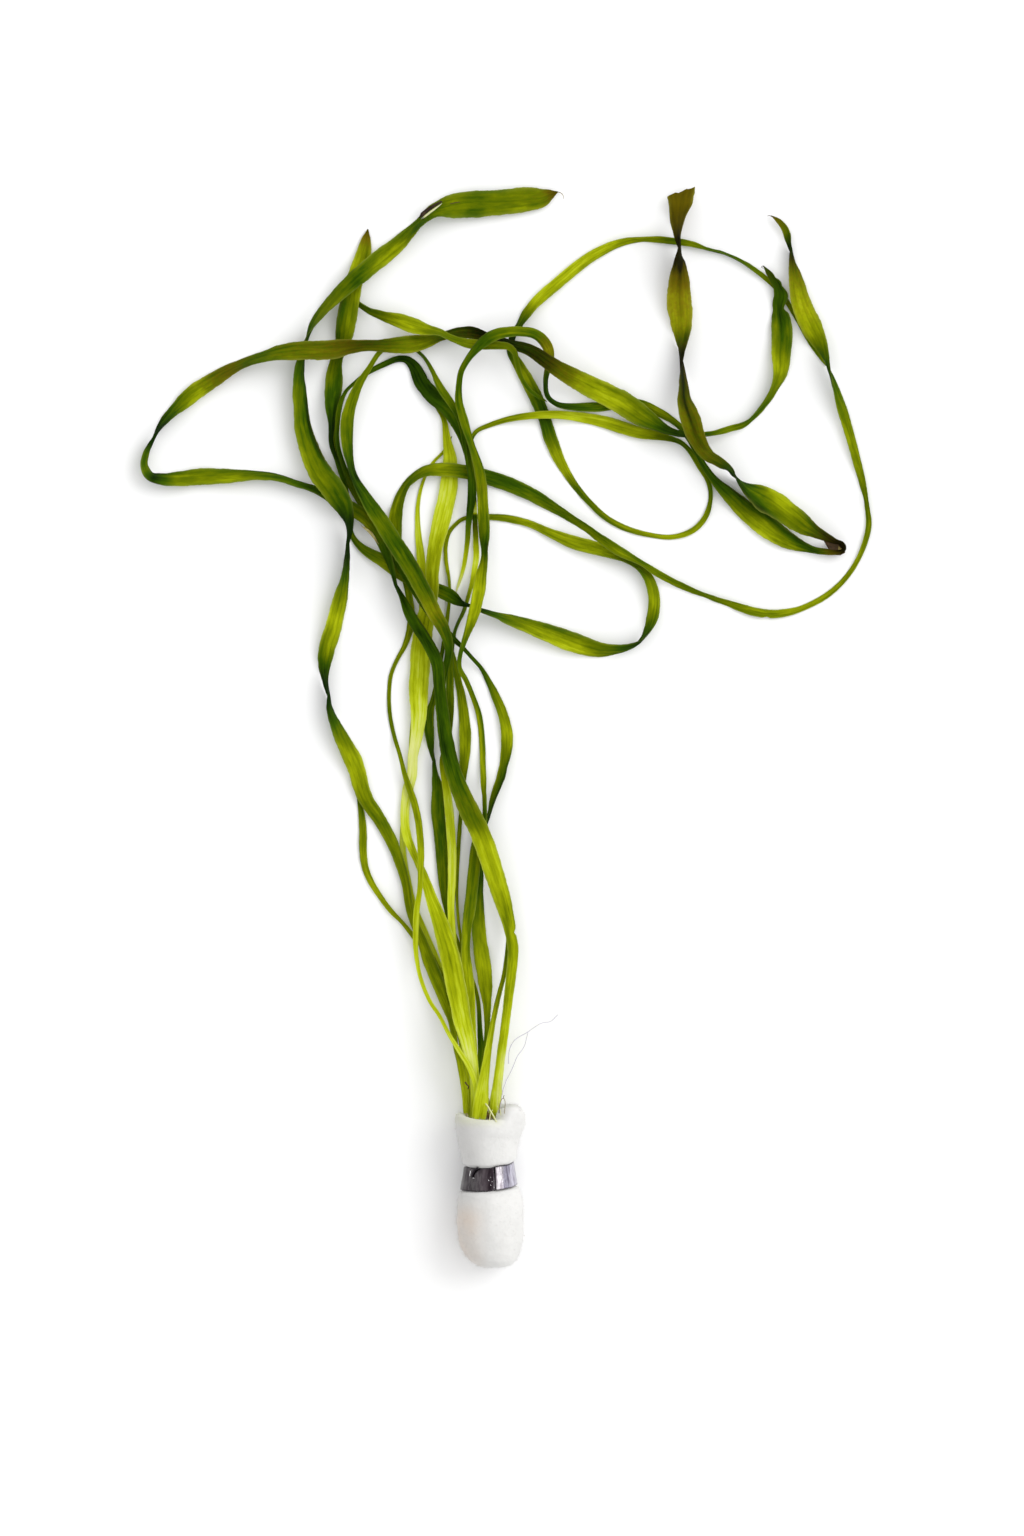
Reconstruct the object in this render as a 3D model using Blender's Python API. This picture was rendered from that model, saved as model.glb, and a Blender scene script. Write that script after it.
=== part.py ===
# Twisted vallisneria bunch: twelve ribbon leaves, held at the base in a foam plug with a
# metal strip wound round it. The bunch lies on its back on a flat surface at z = 0.
# +X runs to the right and +Y from the plug towards the leaf tips.
import math

import bmesh
import bpy
import numpy as np
from mathutils import Vector
from mathutils.kdtree import KDTree

# Sizes are in metres. Leaf routes are drawn on a layout sheet ruled every 0.3 mm.
SHEET_STEP = 0.0003
SHEET_CENTRE_X = 506.5
SHEET_CENTRE_Y = 726.0

LEAF_THICKNESS = 0.0006
LEAF_CLEARANCE = 0.00045
LEAF_LEAST_HALF_WIDTH = 0.00036
STATION_SPACING = 0.001
ACROSS_SPACING = 0.0009
CURVE_STEPS = 40
WIDTH_SOFTENING = 2
ROLL_SOFTENING = 3

# A trough in a leaf's seen width is a full turn below the first share of its crests, a tilt
# there and back below the second, and a real change of width above it.
TWIST_RATIO = 0.34
TILT_RATIO = 0.82

# How the leaves settle on each other: how near is touching, how many stations away a leaf
# counts as its own neighbour, how steeply it climbs over another and from its own turns,
# which stand on edge and hold the stretches between them clear, and how round its crests are
NEIGHBOUR_REACH = 0.0011
SELF_REACH = 25
CROSSING_CLIMB = 0.40
OWN_CLIMB = 0.06
CREST_WINDOW = 2
SETTLE_ROUNDS = 400
SETTLED_MOVE = 0.000002

# The most stations, bend and twist, in radians, between two cross sections of a leaf
SECTION_STATIONS = 11.0
SECTION_BEND = 0.31
SECTION_TWIST = 0.75
USUAL_LEAF_WIDTH = 0.006

FOAM_CENTRE_X = -0.0052
FOAM_CENTRE_Z = 0.0100
FOAM_END_Y = -0.1619
FOAM_MOUTH_Y = -0.1168
FOAM_SIDES = 28
# Outlines of the foam as (distance from its end or its mouth, radius)
FOAM_END_OUTLINE = [
    (0.0, 0.0060), (0.0011, 0.0082), (0.0034, 0.0096), (0.0066, 0.0102), (0.0160, 0.0102),
    (0.0205, 0.0098)]
FOAM_MOUTH_OUTLINE = [
    (0.0078, 0.0098), (0.0030, 0.0107), (0.0007, 0.0103), (0.0, 0.0094)]
MOUTH_CENTRE_X = -0.0069
MOUTH_HALF_WIDTH = 0.0064
MOUTH_HALF_HEIGHT = 0.0078
MOUTH_DEPTH = 0.0116
MOUTH_FLOOR_HALF_WIDTH = 0.0060
MOUTH_FLOOR_HALF_HEIGHT = 0.0069
MOUTH_FLOOR_SLOPE = 0.0002
BORE_RADIUS = 0.0043
BORE_END_Y = -0.1452
WAIST_Y = -0.1343
WAIST_HALF_LENGTH = 0.0040
WAIST_RADIUS = 0.0063
WAIST_LOWER_SHOULDER = 0.0090
WAIST_UPPER_SHOULDER = 0.0083
SHOULDER_LENGTH = 0.0013

STRIP_WIDTH = 0.0070
STRIP_THICKNESS = 0.0007
STRIP_INNER_RADIUS = 0.0066
STRIP_FLARE = 0.0010
STRIP_LAP_LIFT = 0.0010
STRIP_START_DEGREES = 62.0
STRIP_TURN_DEGREES = 405.0
STRIP_SLANT = 0.0009
STRIP_STEPS = 44

CROWN_RADIUS = 0.0039
CROWN_TOP_Y = -0.1287
# The crown's outline as (distance behind its top, share of its radius)
CROWN_OUTLINE = [(0.0, 0.72), (0.0012, 0.92), (0.0030, 1.0), (0.0100, 0.94), (0.0155, 0.70)]

BASE_HEIGHT = 0.0042
BASE_RISE = 0.0006
BASE_DROOP_LENGTH = 0.100

# Each leaf runs from tip to base. A station is (sheet x, sheet y, width seen from above in
# sheet steps), with a fourth number where the leaf's place in the pile changes: the leaf
# with the higher number passes over the other.
LEAF_ROUTES = {
    "leaf_tall_left": [
        (558, 192, 2, 7), (550, 195, 12), (540, 199, 20), (500, 203, 25), (460, 205, 24),
        (435, 212, 14), (420, 224, 8), (402, 242, 15), (378, 261, 18), (353, 283, 17),
        (333, 302, 13), (317, 320, 9), (307, 340, 5), (302, 362, 8, 7), (300, 380, 11, 6),
        (301, 400, 14), (304, 430, 17), (312, 455, 20), (322, 475, 24), (336, 494, 23),
        (345, 510, 17), (349, 530, 5), (348, 545, 3, 6), (344, 580, 9, 3), (340, 600, 14),
        (334, 625, 16), (327, 650, 17), (325, 670, 10), (329, 697, 2), (331, 710, 6),
        (339, 731, 13), (355, 765, 18), (365, 797, 15), (380, 820, 13), (391, 840, 12),
        (399, 860, 10), (406, 885, 8), (409, 905, 8), (414, 922, 8), (422, 940, 9),
        (429, 960, 13), (437, 980, 13), (445, 1000, 11), (452, 1020, 7), (457, 1048, 5), (461, 1065, 6),
        (465, 1090, 7), (467, 1117, 6), (472, 1148, 5)],
    "leaf_short_left": [
        (357, 788, 3, 2), (361, 810, 6), (363, 830, 8), (363, 850, 8), (366, 870, 7),
        (376, 890, 6), (391, 910, 5), (405, 925, 4), (415, 938, 5), (424, 948, 4),
        (432, 955, 3), (438, 966, 3), (447, 985, 3), (453, 1010, 3), (458, 1030, 3),
        (462, 1050, 4), (468, 1085, 5), (469, 1117, 5), (475, 1148, 4)],
    "leaf_right_sweep": [
        (771, 216, 2, 8), (779, 222, 6), (785, 230, 7), (790, 248, 2), (794, 270, 12),
        (800, 300, 19), (810, 325, 22), (820, 345, 14), (828, 368, 3), (835, 390, 7),
        (845, 420, 10), (855, 455, 9), (863, 485, 6), (868, 510, 4), (868, 530, 6),
        (860, 555, 5), (848, 575, 5), (830, 593, 6), (800, 609, 6), (775, 614, 9),
        (755, 612, 9), (725, 602, 6), (700, 593, 5, 8), (680, 585, 6, 3), (660, 575, 7),
        (640, 563, 4), (620, 552, 10), (600, 538, 8), (575, 520, 7), (550, 505, 11),
        (530, 494, 14), (510, 485, 15), (490, 478, 15), (470, 473, 14), (445, 470, 14),
        (425, 472, 11), (410, 482, 8, 3), (402, 495, 9, 0.5), (397, 510, 13), (395, 530, 14),
        (398, 550, 10), (403, 570, 8), (408, 590, 7), (411, 622, 8), (405, 645, 5, 0.5),
        (397, 660, 4, 10), (391, 675, 4), (389, 695, 4), (390, 715, 4), (394, 735, 4),
        (400, 755, 4), (405, 775, 5), (410, 790, 7), (415, 805, 7), (419, 825, 7),
        (421, 850, 7), (421, 870, 6), (420, 890, 5), (417, 910, 6), (416, 930, 6),
        (416, 950, 5), (418, 965, 4), (421, 978, 4), (430, 1000, 4), (440, 1015, 4),
        (450, 1034, 4), (460, 1050, 5), (470, 1066, 6), (476, 1085, 6), (478, 1117, 6),
        (481, 1148, 5)],
    "leaf_pale_broad": [
        (430, 395, 3, 2), (437, 407, 4), (444, 420, 5), (447, 440, 8), (450, 460, 14),
        (449, 485, 18), (443, 515, 18), (436, 545, 15), (433, 570, 14), (432, 590, 14, 2.5),
        (429, 606, 16), (425, 622, 18, 2.5), (421, 650, 20, 9), (419, 690, 20), (419, 712, 16),
        (417, 735, 12), (413, 755, 10), (412, 775, 10), (408, 790, 11), (405, 808, 9),
        (406, 832, 9), (413, 853, 6), (423, 875, 8), (432, 900, 12), (441, 925, 16),
        (450, 955, 20), (457, 990, 20), (463, 1020, 18), (469, 1045, 14), (474, 1070, 10),
        (475, 1090, 8), (475, 1117, 8), (479, 1148, 6)],
    "leaf_pale_narrow": [
        (452, 436, 2, 1), (444, 451, 3), (432, 464, 3), (423, 482, 3), (418, 505, 4),
        (418, 530, 6), (421, 560, 9), (423, 590, 8), (422, 622, 7), (418, 655, 6),
        (414, 690, 6), (414, 712, 5), (412, 735, 5), (411, 755, 5), (410, 775, 5),
        (406, 800, 5), (403, 830, 6), (403, 850, 6), (405, 868, 7), (408, 885, 8),
        (413, 905, 7), (425, 932, 6), (437, 960, 6), (447, 985, 6), (456, 1010, 6),
        (464, 1040, 5), (469, 1060, 5), (473, 1090, 5), (474, 1117, 5), (478, 1148, 4)],
    "leaf_middle_loop": [
        (368, 229, 2, 4), (366, 240, 10), (362, 258, 15), (354, 285, 18), (347, 320, 20),
        (343, 345, 14), (337, 362, 11), (334, 385, 18), (332, 402, 15, 3), (331, 425, 5),
        (331, 445, 3, 2), (337, 462, 4), (345, 485, 5), (349, 515, 5), (352, 535, 5),
        (362, 548, 8), (385, 562, 14), (400, 573, 13), (416, 582, 13), (432, 588, 13, 1.8),
        (448, 595, 14), (460, 602, 7), (467, 605, 3), (475, 608, 3), (484, 611, 4),
        (500, 616, 9), (520, 623, 13), (545, 632, 18), (575, 643, 20), (600, 650, 14),
        (625, 649, 7), (638, 643, 2), (648, 630, 8), (654, 605, 12), (651, 585, 11, 1.8),
        (642, 570, 9, 1.5), (625, 560, 6), (600, 550, 13), (575, 543, 14), (550, 533, 9),
        (530, 524, 7), (510, 519, 8), (490, 517, 6), (475, 517, 5), (463, 519, 4),
        (455, 525, 4), (449, 533, 4), (446, 545, 4), (446, 560, 4, 1.2), (449, 583, 3),
        (449, 600, 3), (447, 620, 4, 1.2), (440, 665, 4, 4), (433, 700, 5), (430, 712, 9),
        (429, 725, 10), (431, 742, 8), (434, 762, 2), (436, 775, 7), (438, 792, 12),
        (438, 812, 14), (441, 840, 13), (443, 870, 12), (444, 890, 9), (447, 915, 3),
        (453, 932, 4), (459, 947, 5), (464, 962, 3), (470, 973, 3), (474, 983, 3),
        (478, 1000, 4), (480, 1030, 5), (481, 1050, 7), (479, 1072, 6), (477, 1090, 5),
        (475, 1105, 4), (475, 1117, 4), (480, 1148, 4)],
    "leaf_far_loop": [
        (763, 266, 2, 6), (772, 278, 8), (778, 287, 10), (780, 297, 14), (779, 308, 9),
        (781, 320, 20), (782, 335, 22), (781, 352, 20), (780, 372, 15), (774, 388, 8),
        (767, 400, 6), (755, 415, 4), (745, 424, 4), (730, 429, 6), (715, 434, 4),
        (700, 436, 5), (685, 436, 6, 6), (668, 432, 8, 7), (655, 425, 14, 9), (640, 415, 22),
        (620, 402, 24), (600, 392, 22), (580, 382, 20), (560, 371, 16), (545, 361, 14),
        (530, 351, 11, 9), (515, 346, 9, 8), (500, 341, 7), (488, 337, 6), (470, 333, 12),
        (455, 334, 10), (443, 337, 8), (430, 341, 12), (410, 345, 18), (390, 346, 14),
        (370, 346, 9), (350, 348, 13), (330, 351, 19), (300, 352, 19), (280, 354, 15),
        (260, 359, 11), (245, 364, 10), (230, 371, 13), (210, 383, 16), (192, 395, 17),
        (177, 409, 12), (165, 422, 8), (157, 433, 4), (152, 443, 2), (147, 455, 5),
        (146, 466, 8), (151, 476, 9), (162, 479, 12), (178, 479, 15), (200, 477, 17),
        (230, 476, 14), (255, 475, 10), (280, 478, 7, 8), (300, 484, 6, 4), (320, 491, 8),
        (345, 505, 14), (368, 520, 14), (380, 538, 12), (389, 562, 8), (396, 585, 4),
        (404, 603, 7, 4), (413, 620, 12, 12), (427, 642, 12), (437, 662, 12), (440, 690, 12),
        (443, 715, 13), (447, 745, 15), (453, 770, 16), (461, 792, 18), (470, 812, 20),
        (480, 832, 20), (490, 860, 20), (499, 888, 19), (506, 912, 15), (511, 935, 11),
        (513, 950, 11), (511, 975, 10), (508, 1000, 9), (505, 1025, 9), (501, 1055, 9),
        (498, 1080, 9), (497, 1100, 9), (496, 1117, 9), (494, 1148, 6)],
    "leaf_round_loop": [
        (826, 366, 2, 3), (818, 354, 4), (810, 342, 5), (795, 315, 5), (782, 295, 5),
        (765, 278, 5), (745, 264, 3), (725, 254, 2), (705, 249, 3), (690, 244, 6),
        (670, 241, 7), (645, 239, 4), (620, 243, 8), (591, 257, 11), (558, 283, 12),
        (533, 306, 11), (519, 327, 6), (513, 338, 6), (511, 350, 8), (517, 362, 10),
        (528, 382, 13), (538, 402, 14), (545, 420, 12), (550, 437, 14), (557, 455, 12),
        (565, 470, 9), (576, 487, 7), (590, 503, 6), (605, 517, 6), (625, 528, 6),
        (650, 535, 5), (672, 537, 5), (690, 532, 6), (702, 522, 6), (709, 508, 5),
        (711, 492, 4), (708, 480, 5), (700, 467, 6), (690, 452, 5), (680, 443, 4, 3),
        (660, 437, 8, 4), (640, 433, 12), (620, 427, 13), (600, 421, 12), (570, 416, 9),
        (545, 415, 8), (510, 419, 6), (490, 425, 5), (476, 432, 4), (470, 445, 4),
        (472, 465, 4), (474, 490, 4, 4), (475, 520, 5), (476, 545, 6), (476, 558, 6, 1),
        (472, 580, 4), (464, 609, 3), (455, 630, 3, 1), (451, 650, 5, 3), (450, 668, 7, 5),
        (450, 690, 8), (451, 715, 6), (450, 735, 3), (446, 748, 4), (443, 760, 6),
        (447, 790, 8), (450, 820, 9), (452, 850, 9), (452, 880, 8), (451, 905, 7),
        (452, 925, 7), (454, 942, 6), (458, 965, 5), (465, 990, 4), (469, 1020, 4),
        (473, 1050, 4), (475, 1085, 4), (477, 1117, 4), (481, 1148, 4)],
    "leaf_inner_arch": [
        (468, 468, 2, 5.5), (464, 442, 4), (459, 418, 6), (450, 402, 8), (441, 389, 8),
        (434, 376, 4), (427, 362, 3), (419, 353, 3), (409, 346, 4), (398, 344, 5),
        (387, 347, 5), (378, 355, 5), (370, 368, 5, 5), (360, 384, 8), (353, 400, 11),
        (348, 418, 13), (347, 440, 12), (349, 460, 8), (354, 478, 6), (365, 497, 12),
        (380, 520, 16), (396, 545, 17), (412, 570, 17), (424, 592, 16), (434, 612, 15, 5),
        (445, 632, 12, 11), (449, 650, 8), (445, 672, 6), (442, 692, 6), (443, 715, 6),
        (447, 745, 7), (453, 770, 8), (461, 792, 8), (470, 812, 8), (480, 832, 8),
        (491, 860, 8), (500, 888, 7), (507, 912, 6), (509, 940, 5), (505, 972, 4),
        (499, 997, 4), (494, 1020, 5), (490, 1042, 6), (487, 1060, 8), (484, 1078, 10),
        (480, 1100, 12), (478, 1117, 12), (481, 1148, 6)],
    "leaf_dark_arch": [
        (456, 592, 2, 1.4), (463, 570, 4, 1.4), (467, 545, 5, 4.5), (469, 520, 6), (472, 495, 9),
        (471, 470, 8), (466, 445, 10), (458, 425, 13), (447, 408, 16), (434, 397, 16),
        (422, 383, 15), (415, 368, 13), (407, 360, 7), (398, 359, 6), (385, 364, 6),
        (370, 372, 5, 4), (358, 381, 4), (346, 393, 3), (340, 408, 5), (337, 430, 4),
        (338, 448, 4, 4), (343, 465, 5, 3), (356, 492, 7), (375, 525, 9), (395, 558, 9),
        (415, 590, 9), (432, 615, 9, 3), (447, 633, 8, 6.5), (463, 648, 4), (472, 658, 4),
        (481, 668, 4), (489, 682, 6), (496, 697, 9), (503, 715, 10), (507, 735, 12),
        (506, 755, 10), (502, 775, 8), (497, 790, 7), (492, 805, 5), (488, 818, 4),
        (484, 830, 5), (481, 845, 7), (479, 870, 10), (478, 900, 12), (479, 930, 14),
        (481, 950, 15), (484, 970, 16), (486, 990, 13), (487, 1005, 8), (487, 1030, 5),
        (485, 1050, 4), (482, 1080, 4), (479, 1117, 4), (482, 1148, 4)],
    "leaf_brown_tipped": [
        (683, 189, 16, 8), (681, 200, 24), (680, 215, 12), (678, 235, 6), (679, 248, 3),
        (679, 262, 10), (679, 275, 18), (679, 300, 25), (680, 315, 24), (681, 332, 18),
        (681, 345, 10), (681, 358, 3), (682, 375, 6), (683, 388, 10), (684, 402, 14),
        (690, 420, 20), (697, 440, 17), (707, 455, 11), (720, 463, 9), (730, 470, 7),
        (735, 478, 6), (748, 489, 13), (770, 501, 24), (790, 516, 24), (806, 528, 17),
        (822, 537, 8), (834, 542, 4), (842, 545, 2.5), (843, 550, 2.5, 8), (835, 552, 4, 5),
        (826, 552, 5), (816, 551, 3), (800, 546, 12), (780, 536, 20), (755, 518, 22),
        (732, 498, 16), (714, 480, 8), (704, 466, 6), (697, 453, 6), (688, 437, 7),
        (677, 424, 6), (658, 412, 9), (640, 404, 9), (620, 404, 10), (600, 407, 10),
        (575, 407, 8), (557, 404, 5), (548, 396, 4), (546, 382, 5), (549, 367, 6),
        (550, 355, 9), (546, 345, 11), (536, 336, 10, 5), (520, 333, 10, 11), (500, 335, 11),
        (487, 341, 12), (475, 352, 8, 11), (467, 362, 6), (461, 374, 6, 6), (459, 388, 6),
        (459, 402, 8), (463, 418, 9), (470, 440, 6), (476, 458, 8), (481, 480, 11),
        (483, 505, 11), (484, 528, 12), (484, 545, 6), (484, 557, 6), (481, 575, 11),
        (479, 592, 13), (475, 610, 12), (470, 627, 9, 6), (465, 642, 5, 7), (461, 655, 3),
        (460, 668, 4), (466, 680, 5), (473, 697, 5), (479, 715, 6), (482, 740, 6),
        (483, 770, 6), (484, 800, 4), (484, 820, 4), (481, 832, 8), (477, 845, 12),
        (474, 870, 12), (471, 900, 12), (467, 930, 9), (466, 955, 9), (468, 975, 11),
        (470, 1000, 11), (472, 1030, 9), (475, 1055, 5), (476, 1075, 5), (476, 1117, 5),
        (480, 1148, 4)],
    "leaf_top_run": [
        (547, 402, 2, 4.5), (540, 398, 4), (530, 391, 4), (521, 378, 4, 4.5), (517, 364, 5, 10),
        (514, 353, 6), (508, 348, 7), (500, 347, 8), (480, 346, 10), (465, 344, 9),
        (450, 339, 6), (440, 334, 7), (427, 331, 11), (412, 326, 16), (398, 321, 14),
        (385, 317, 10, 10), (370, 311, 6, 2), (361, 305, 3), (354, 300, 2.5, 1), (349, 303, 2.5),
        (347, 312, 3), (346, 325, 5, 0.5), (343, 345, 5), (339, 365, 5), (335, 388, 5, 0),
        (334, 410, 5), (334, 430, 5), (337, 453, 5), (345, 476, 5), (358, 500, 5),
        (375, 525, 5), (392, 550, 5), (410, 575, 5), (427, 602, 5), (441, 627, 5),
        (452, 655, 6, 0), (458, 680, 7, 4.5), (462, 700, 9), (465, 730, 12), (465, 752, 11),
        (463, 775, 8), (462, 795, 5), (461, 815, 3), (459, 840, 4), (457, 875, 4),
        (457, 900, 3), (459, 925, 3), (462, 945, 3), (465, 965, 3), (468, 985, 3),
        (472, 1015, 3), (475, 1050, 3), (477, 1085, 4), (478, 1117, 4), (481, 1148, 4)],
}

# Colour, roughness and metallic value of each sub-part, as linear RGB.
LEAF_COLOURS = {
    "leaf_tall_left": (0.16, 0.20, 0.010),
    "leaf_short_left": (0.15, 0.22, 0.010),
    "leaf_right_sweep": (0.17, 0.25, 0.010),
    "leaf_pale_broad": (0.36, 0.42, 0.030),
    "leaf_pale_narrow": (0.40, 0.46, 0.060),
    "leaf_middle_loop": (0.15, 0.21, 0.010),
    "leaf_far_loop": (0.17, 0.20, 0.010),
    "leaf_round_loop": (0.16, 0.24, 0.012),
    "leaf_inner_arch": (0.17, 0.22, 0.010),
    "leaf_dark_arch": (0.05, 0.11, 0.008),
    "leaf_brown_tipped": (0.15, 0.15, 0.010),
    "leaf_top_run": (0.17, 0.20, 0.010),
}
FOAM_COLOUR = (0.86, 0.85, 0.84)
STRIP_COLOUR = (0.36, 0.35, 0.38)
CROWN_COLOUR = (0.55, 0.52, 0.30)
LEAF_ROUGHNESS = 0.45
FOAM_ROUGHNESS = 0.95
STRIP_ROUGHNESS = 0.35
CROWN_ROUGHNESS = 0.6
SHARP_EDGE_DEGREES = 40


def clear_objects():
    for thing in list(bpy.data.objects):
        bpy.data.objects.remove(thing, do_unlink=True)


def plain_material(name, colour, roughness, metallic):
    material = bpy.data.materials.new(name)
    material.use_nodes = True
    shader = material.node_tree.nodes["Principled BSDF"]
    shader.inputs["Base Color"].default_value = (*colour, 1.0)
    shader.inputs["Roughness"].default_value = roughness
    shader.inputs["Metallic"].default_value = metallic
    return material


def add_object(name, work, material):
    bmesh.ops.recalc_face_normals(work, faces=work.faces)
    mesh = bpy.data.meshes.new(name)
    work.to_mesh(mesh)
    work.free()
    mesh.materials.append(material)
    mesh.shade_smooth()
    mesh.set_sharp_from_angle(angle=math.radians(SHARP_EDGE_DEGREES))
    piece = bpy.data.objects.new(name, mesh)
    bpy.context.scene.collection.objects.link(piece)
    return piece


# A route's own points in the model's plane, and the values that go with them
def route_columns(route):
    place, seen, level = [], [], []
    for station in route:
        place.append(((station[0] - SHEET_CENTRE_X) * SHEET_STEP,
                      (SHEET_CENTRE_Y - station[1]) * SHEET_STEP))
        seen.append(station[2] * SHEET_STEP)
        level.append(station[3] if len(station) > 3 else level[-1])
    return np.array(place), np.array(seen), np.array(level, float)


# The leaf's real width and its roll at each station, from how wide it looks from above.
# Between two crests the leaf turns over if it looks very thin, or tilts and comes back.
def widths_and_rolls(seen):
    last = len(seen) - 1
    crests = [i for i in range(last + 1)
              if (i == 0 or seen[i] >= seen[i - 1]) and (i == last or seen[i] >= seen[i + 1])]
    real = seen.copy()
    roll = np.zeros(len(seen))
    turned = 0.0
    side = 1.0
    for start, end in zip(crests, crests[1:]):
        inner = np.arange(start + 1, end)
        if len(inner) == 0:
            roll[end] = turned
            continue
        trough = inner[np.argmin(seen[inner])]
        ratio = seen[trough] / min(seen[start], seen[end])
        if ratio > TILT_RATIO:
            roll[start + 1:end + 1] = turned
            continue
        blend = (inner - start) / (end - start)
        real[inner] = np.maximum(seen[start] + (seen[end] - seen[start]) * blend, seen[inner])
        tilt = np.arccos(seen[inner] / real[inner])
        if ratio > TWIST_RATIO:
            roll[inner] = turned + side * tilt
            side = -side
        else:
            roll[inner] = np.where(inner < trough, turned + tilt, turned + math.pi - tilt)
            roll[trough] = turned + math.pi / 2
            turned += math.pi
        roll[end] = turned
    roll[crests[-1]:] = turned
    return real, roll


# A smooth curve through the route's points, with evenly spaced stations along it
def even_stations(route):
    place, seen, level = route_columns(route)
    real, roll = widths_and_rolls(seen)
    chord = np.linalg.norm(np.diff(place, axis=0), axis=1)
    knot = np.concatenate([[0.0], np.cumsum(np.sqrt(chord))])
    gap = np.diff(knot)[:, None]
    slope = np.diff(place, axis=0) / gap
    tangent = np.empty_like(place)
    tangent[1:-1] = (slope[:-1] * gap[1:] + slope[1:] * gap[:-1]) / (gap[1:] + gap[:-1])
    tangent[0] = slope[0]
    tangent[-1] = slope[-1]
    fine = np.linspace(0.0, knot[-1], CURVE_STEPS * len(knot))
    k = np.clip(np.searchsorted(knot, fine, side="right") - 1, 0, len(knot) - 2)
    u = ((fine - knot[k]) / gap[k, 0])[:, None]
    curve = ((2 * u**3 - 3 * u**2 + 1) * place[k] + (u**3 - 2 * u**2 + u) * gap[k] * tangent[k]
             + (3 * u**2 - 2 * u**3) * place[k + 1] + (u**3 - u**2) * gap[k] * tangent[k + 1])
    run = np.concatenate([[0.0], np.cumsum(np.linalg.norm(np.diff(curve, axis=0), axis=1))])
    count = int(round(run[-1] / STATION_SPACING)) + 1
    at = np.linspace(0.0, run[-1], count)
    knot_at = np.interp(at, run, fine)
    return {
        "xy": np.stack([np.interp(at, run, curve[:, 0]), np.interp(at, run, curve[:, 1])], axis=1),
        "width": soften(np.interp(knot_at, knot, real), WIDTH_SOFTENING),
        "roll": soften(np.interp(knot_at, knot, roll), ROLL_SOFTENING),
        "level": np.interp(knot_at, knot, level),
    }


def soften(values, reach):
    padded = np.pad(values, reach, mode="edge")
    return np.convolve(padded, np.ones(2 * reach + 1) / (2 * reach + 1), mode="valid")


# The lowest smooth line that stays above the given heights and climbs no faster than this
def drape_over(heights, climb):
    ramp = climb * STATION_SPACING * np.arange(len(heights))
    forward = np.maximum.accumulate(heights + ramp) - ramp
    back = (np.maximum.accumulate((heights + ramp[::-1])[::-1]))[::-1] - ramp[::-1]
    line = np.pad(np.maximum(forward, back), 2 * CREST_WINDOW, mode="edge")
    windows = np.lib.stride_tricks.sliding_window_view(line, 4 * CREST_WINDOW + 1)
    return soften(soften(windows.max(axis=1), CREST_WINDOW), CREST_WINDOW)


def side_vectors(xy):
    heading = np.gradient(xy, axis=0)
    heading /= np.linalg.norm(heading, axis=1)[:, None]
    return np.stack([-heading[:, 1], heading[:, 0]], axis=1)


# Which stations pass over which, and by how much each must clear the one below
def find_crossings(leaves):
    owner, place, offset = [], [], []
    base = 0
    for leaf in leaves:
        side = side_vectors(leaf["xy"])
        for i in range(len(leaf["xy"])):
            half = leaf["width"][i] / 2
            count = max(2, int(math.ceil(2 * half / ACROSS_SPACING)) + 1)
            for u in np.linspace(-1.0, 1.0, count):
                spot = leaf["xy"][i] + side[i] * (u * half * math.cos(leaf["roll"][i]))
                owner.append(base + i)
                place.append((spot[0], spot[1], 0.0))
                offset.append(u * half * math.sin(leaf["roll"][i]))
        base += len(leaf["xy"])
    leaf_of = np.concatenate([np.full(len(leaf["xy"]), n) for n, leaf in enumerate(leaves)])
    level = np.concatenate([leaf["level"] for leaf in leaves])
    tree = KDTree(len(place))
    for index, spot in enumerate(place):
        tree.insert(spot, index)
    tree.balance()
    lifts = {}
    for index, spot in enumerate(place):
        upper = owner[index]
        for _, other, _ in tree.find_range(spot, NEIGHBOUR_REACH):
            lower = owner[other]
            if level[upper] <= level[lower]:
                continue
            if leaf_of[upper] == leaf_of[lower] and abs(upper - lower) < SELF_REACH:
                continue
            lift = offset[other] - offset[index] + LEAF_THICKNESS + LEAF_CLEARANCE
            if lift > lifts.get((upper, lower), -1.0):
                lifts[(upper, lower)] = lift
    pairs = sorted(lifts)
    upper = np.array([pair[0] for pair in pairs])
    lower = np.array([pair[1] for pair in pairs])
    lift = np.array([lifts[pair] for pair in pairs])
    return upper, lower, lift


# How high the middle of each leaf lies, station by station: each leaf rests on the surface
# or on the leaves below it, and comes down from the mouth of the plug in a shallow curve
def settle(leaves):
    starts = np.cumsum([0] + [len(leaf["xy"]) for leaf in leaves])
    rest = []
    for leaf in leaves:
        lowest = np.abs(np.sin(leaf["roll"])) * leaf["width"] / 2 + LEAF_THICKNESS / 2
        from_base = STATION_SPACING * np.arange(len(lowest))[::-1]
        droop = np.clip(1.0 - from_base / BASE_DROOP_LENGTH, 0.0, 1.0) ** 2
        rest.append(drape_over(lowest, OWN_CLIMB)
                    + droop * (BASE_HEIGHT + BASE_RISE * leaf["level"][-1]))
    rest = np.concatenate(rest)
    upper, lower, lift = find_crossings(leaves)
    firsts = np.flatnonzero(np.concatenate([[True], upper[1:] != upper[:-1]]))
    height = rest.copy()
    for _ in range(SETTLE_ROUNDS):
        needed = rest.copy()
        needed[upper[firsts]] = np.maximum(needed[upper[firsts]],
                                           np.maximum.reduceat(height[lower] + lift, firsts))
        draped = np.concatenate([drape_over(needed[a:b], CROSSING_CLIMB)
                                 for a, b in zip(starts, starts[1:])])
        moved = np.max(np.abs(draped - height))
        height = draped
        if moved < SETTLED_MOVE:
            break
    for leaf, a, b in zip(leaves, starts, starts[1:]):
        leaf["z"] = height[a:b]


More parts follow.
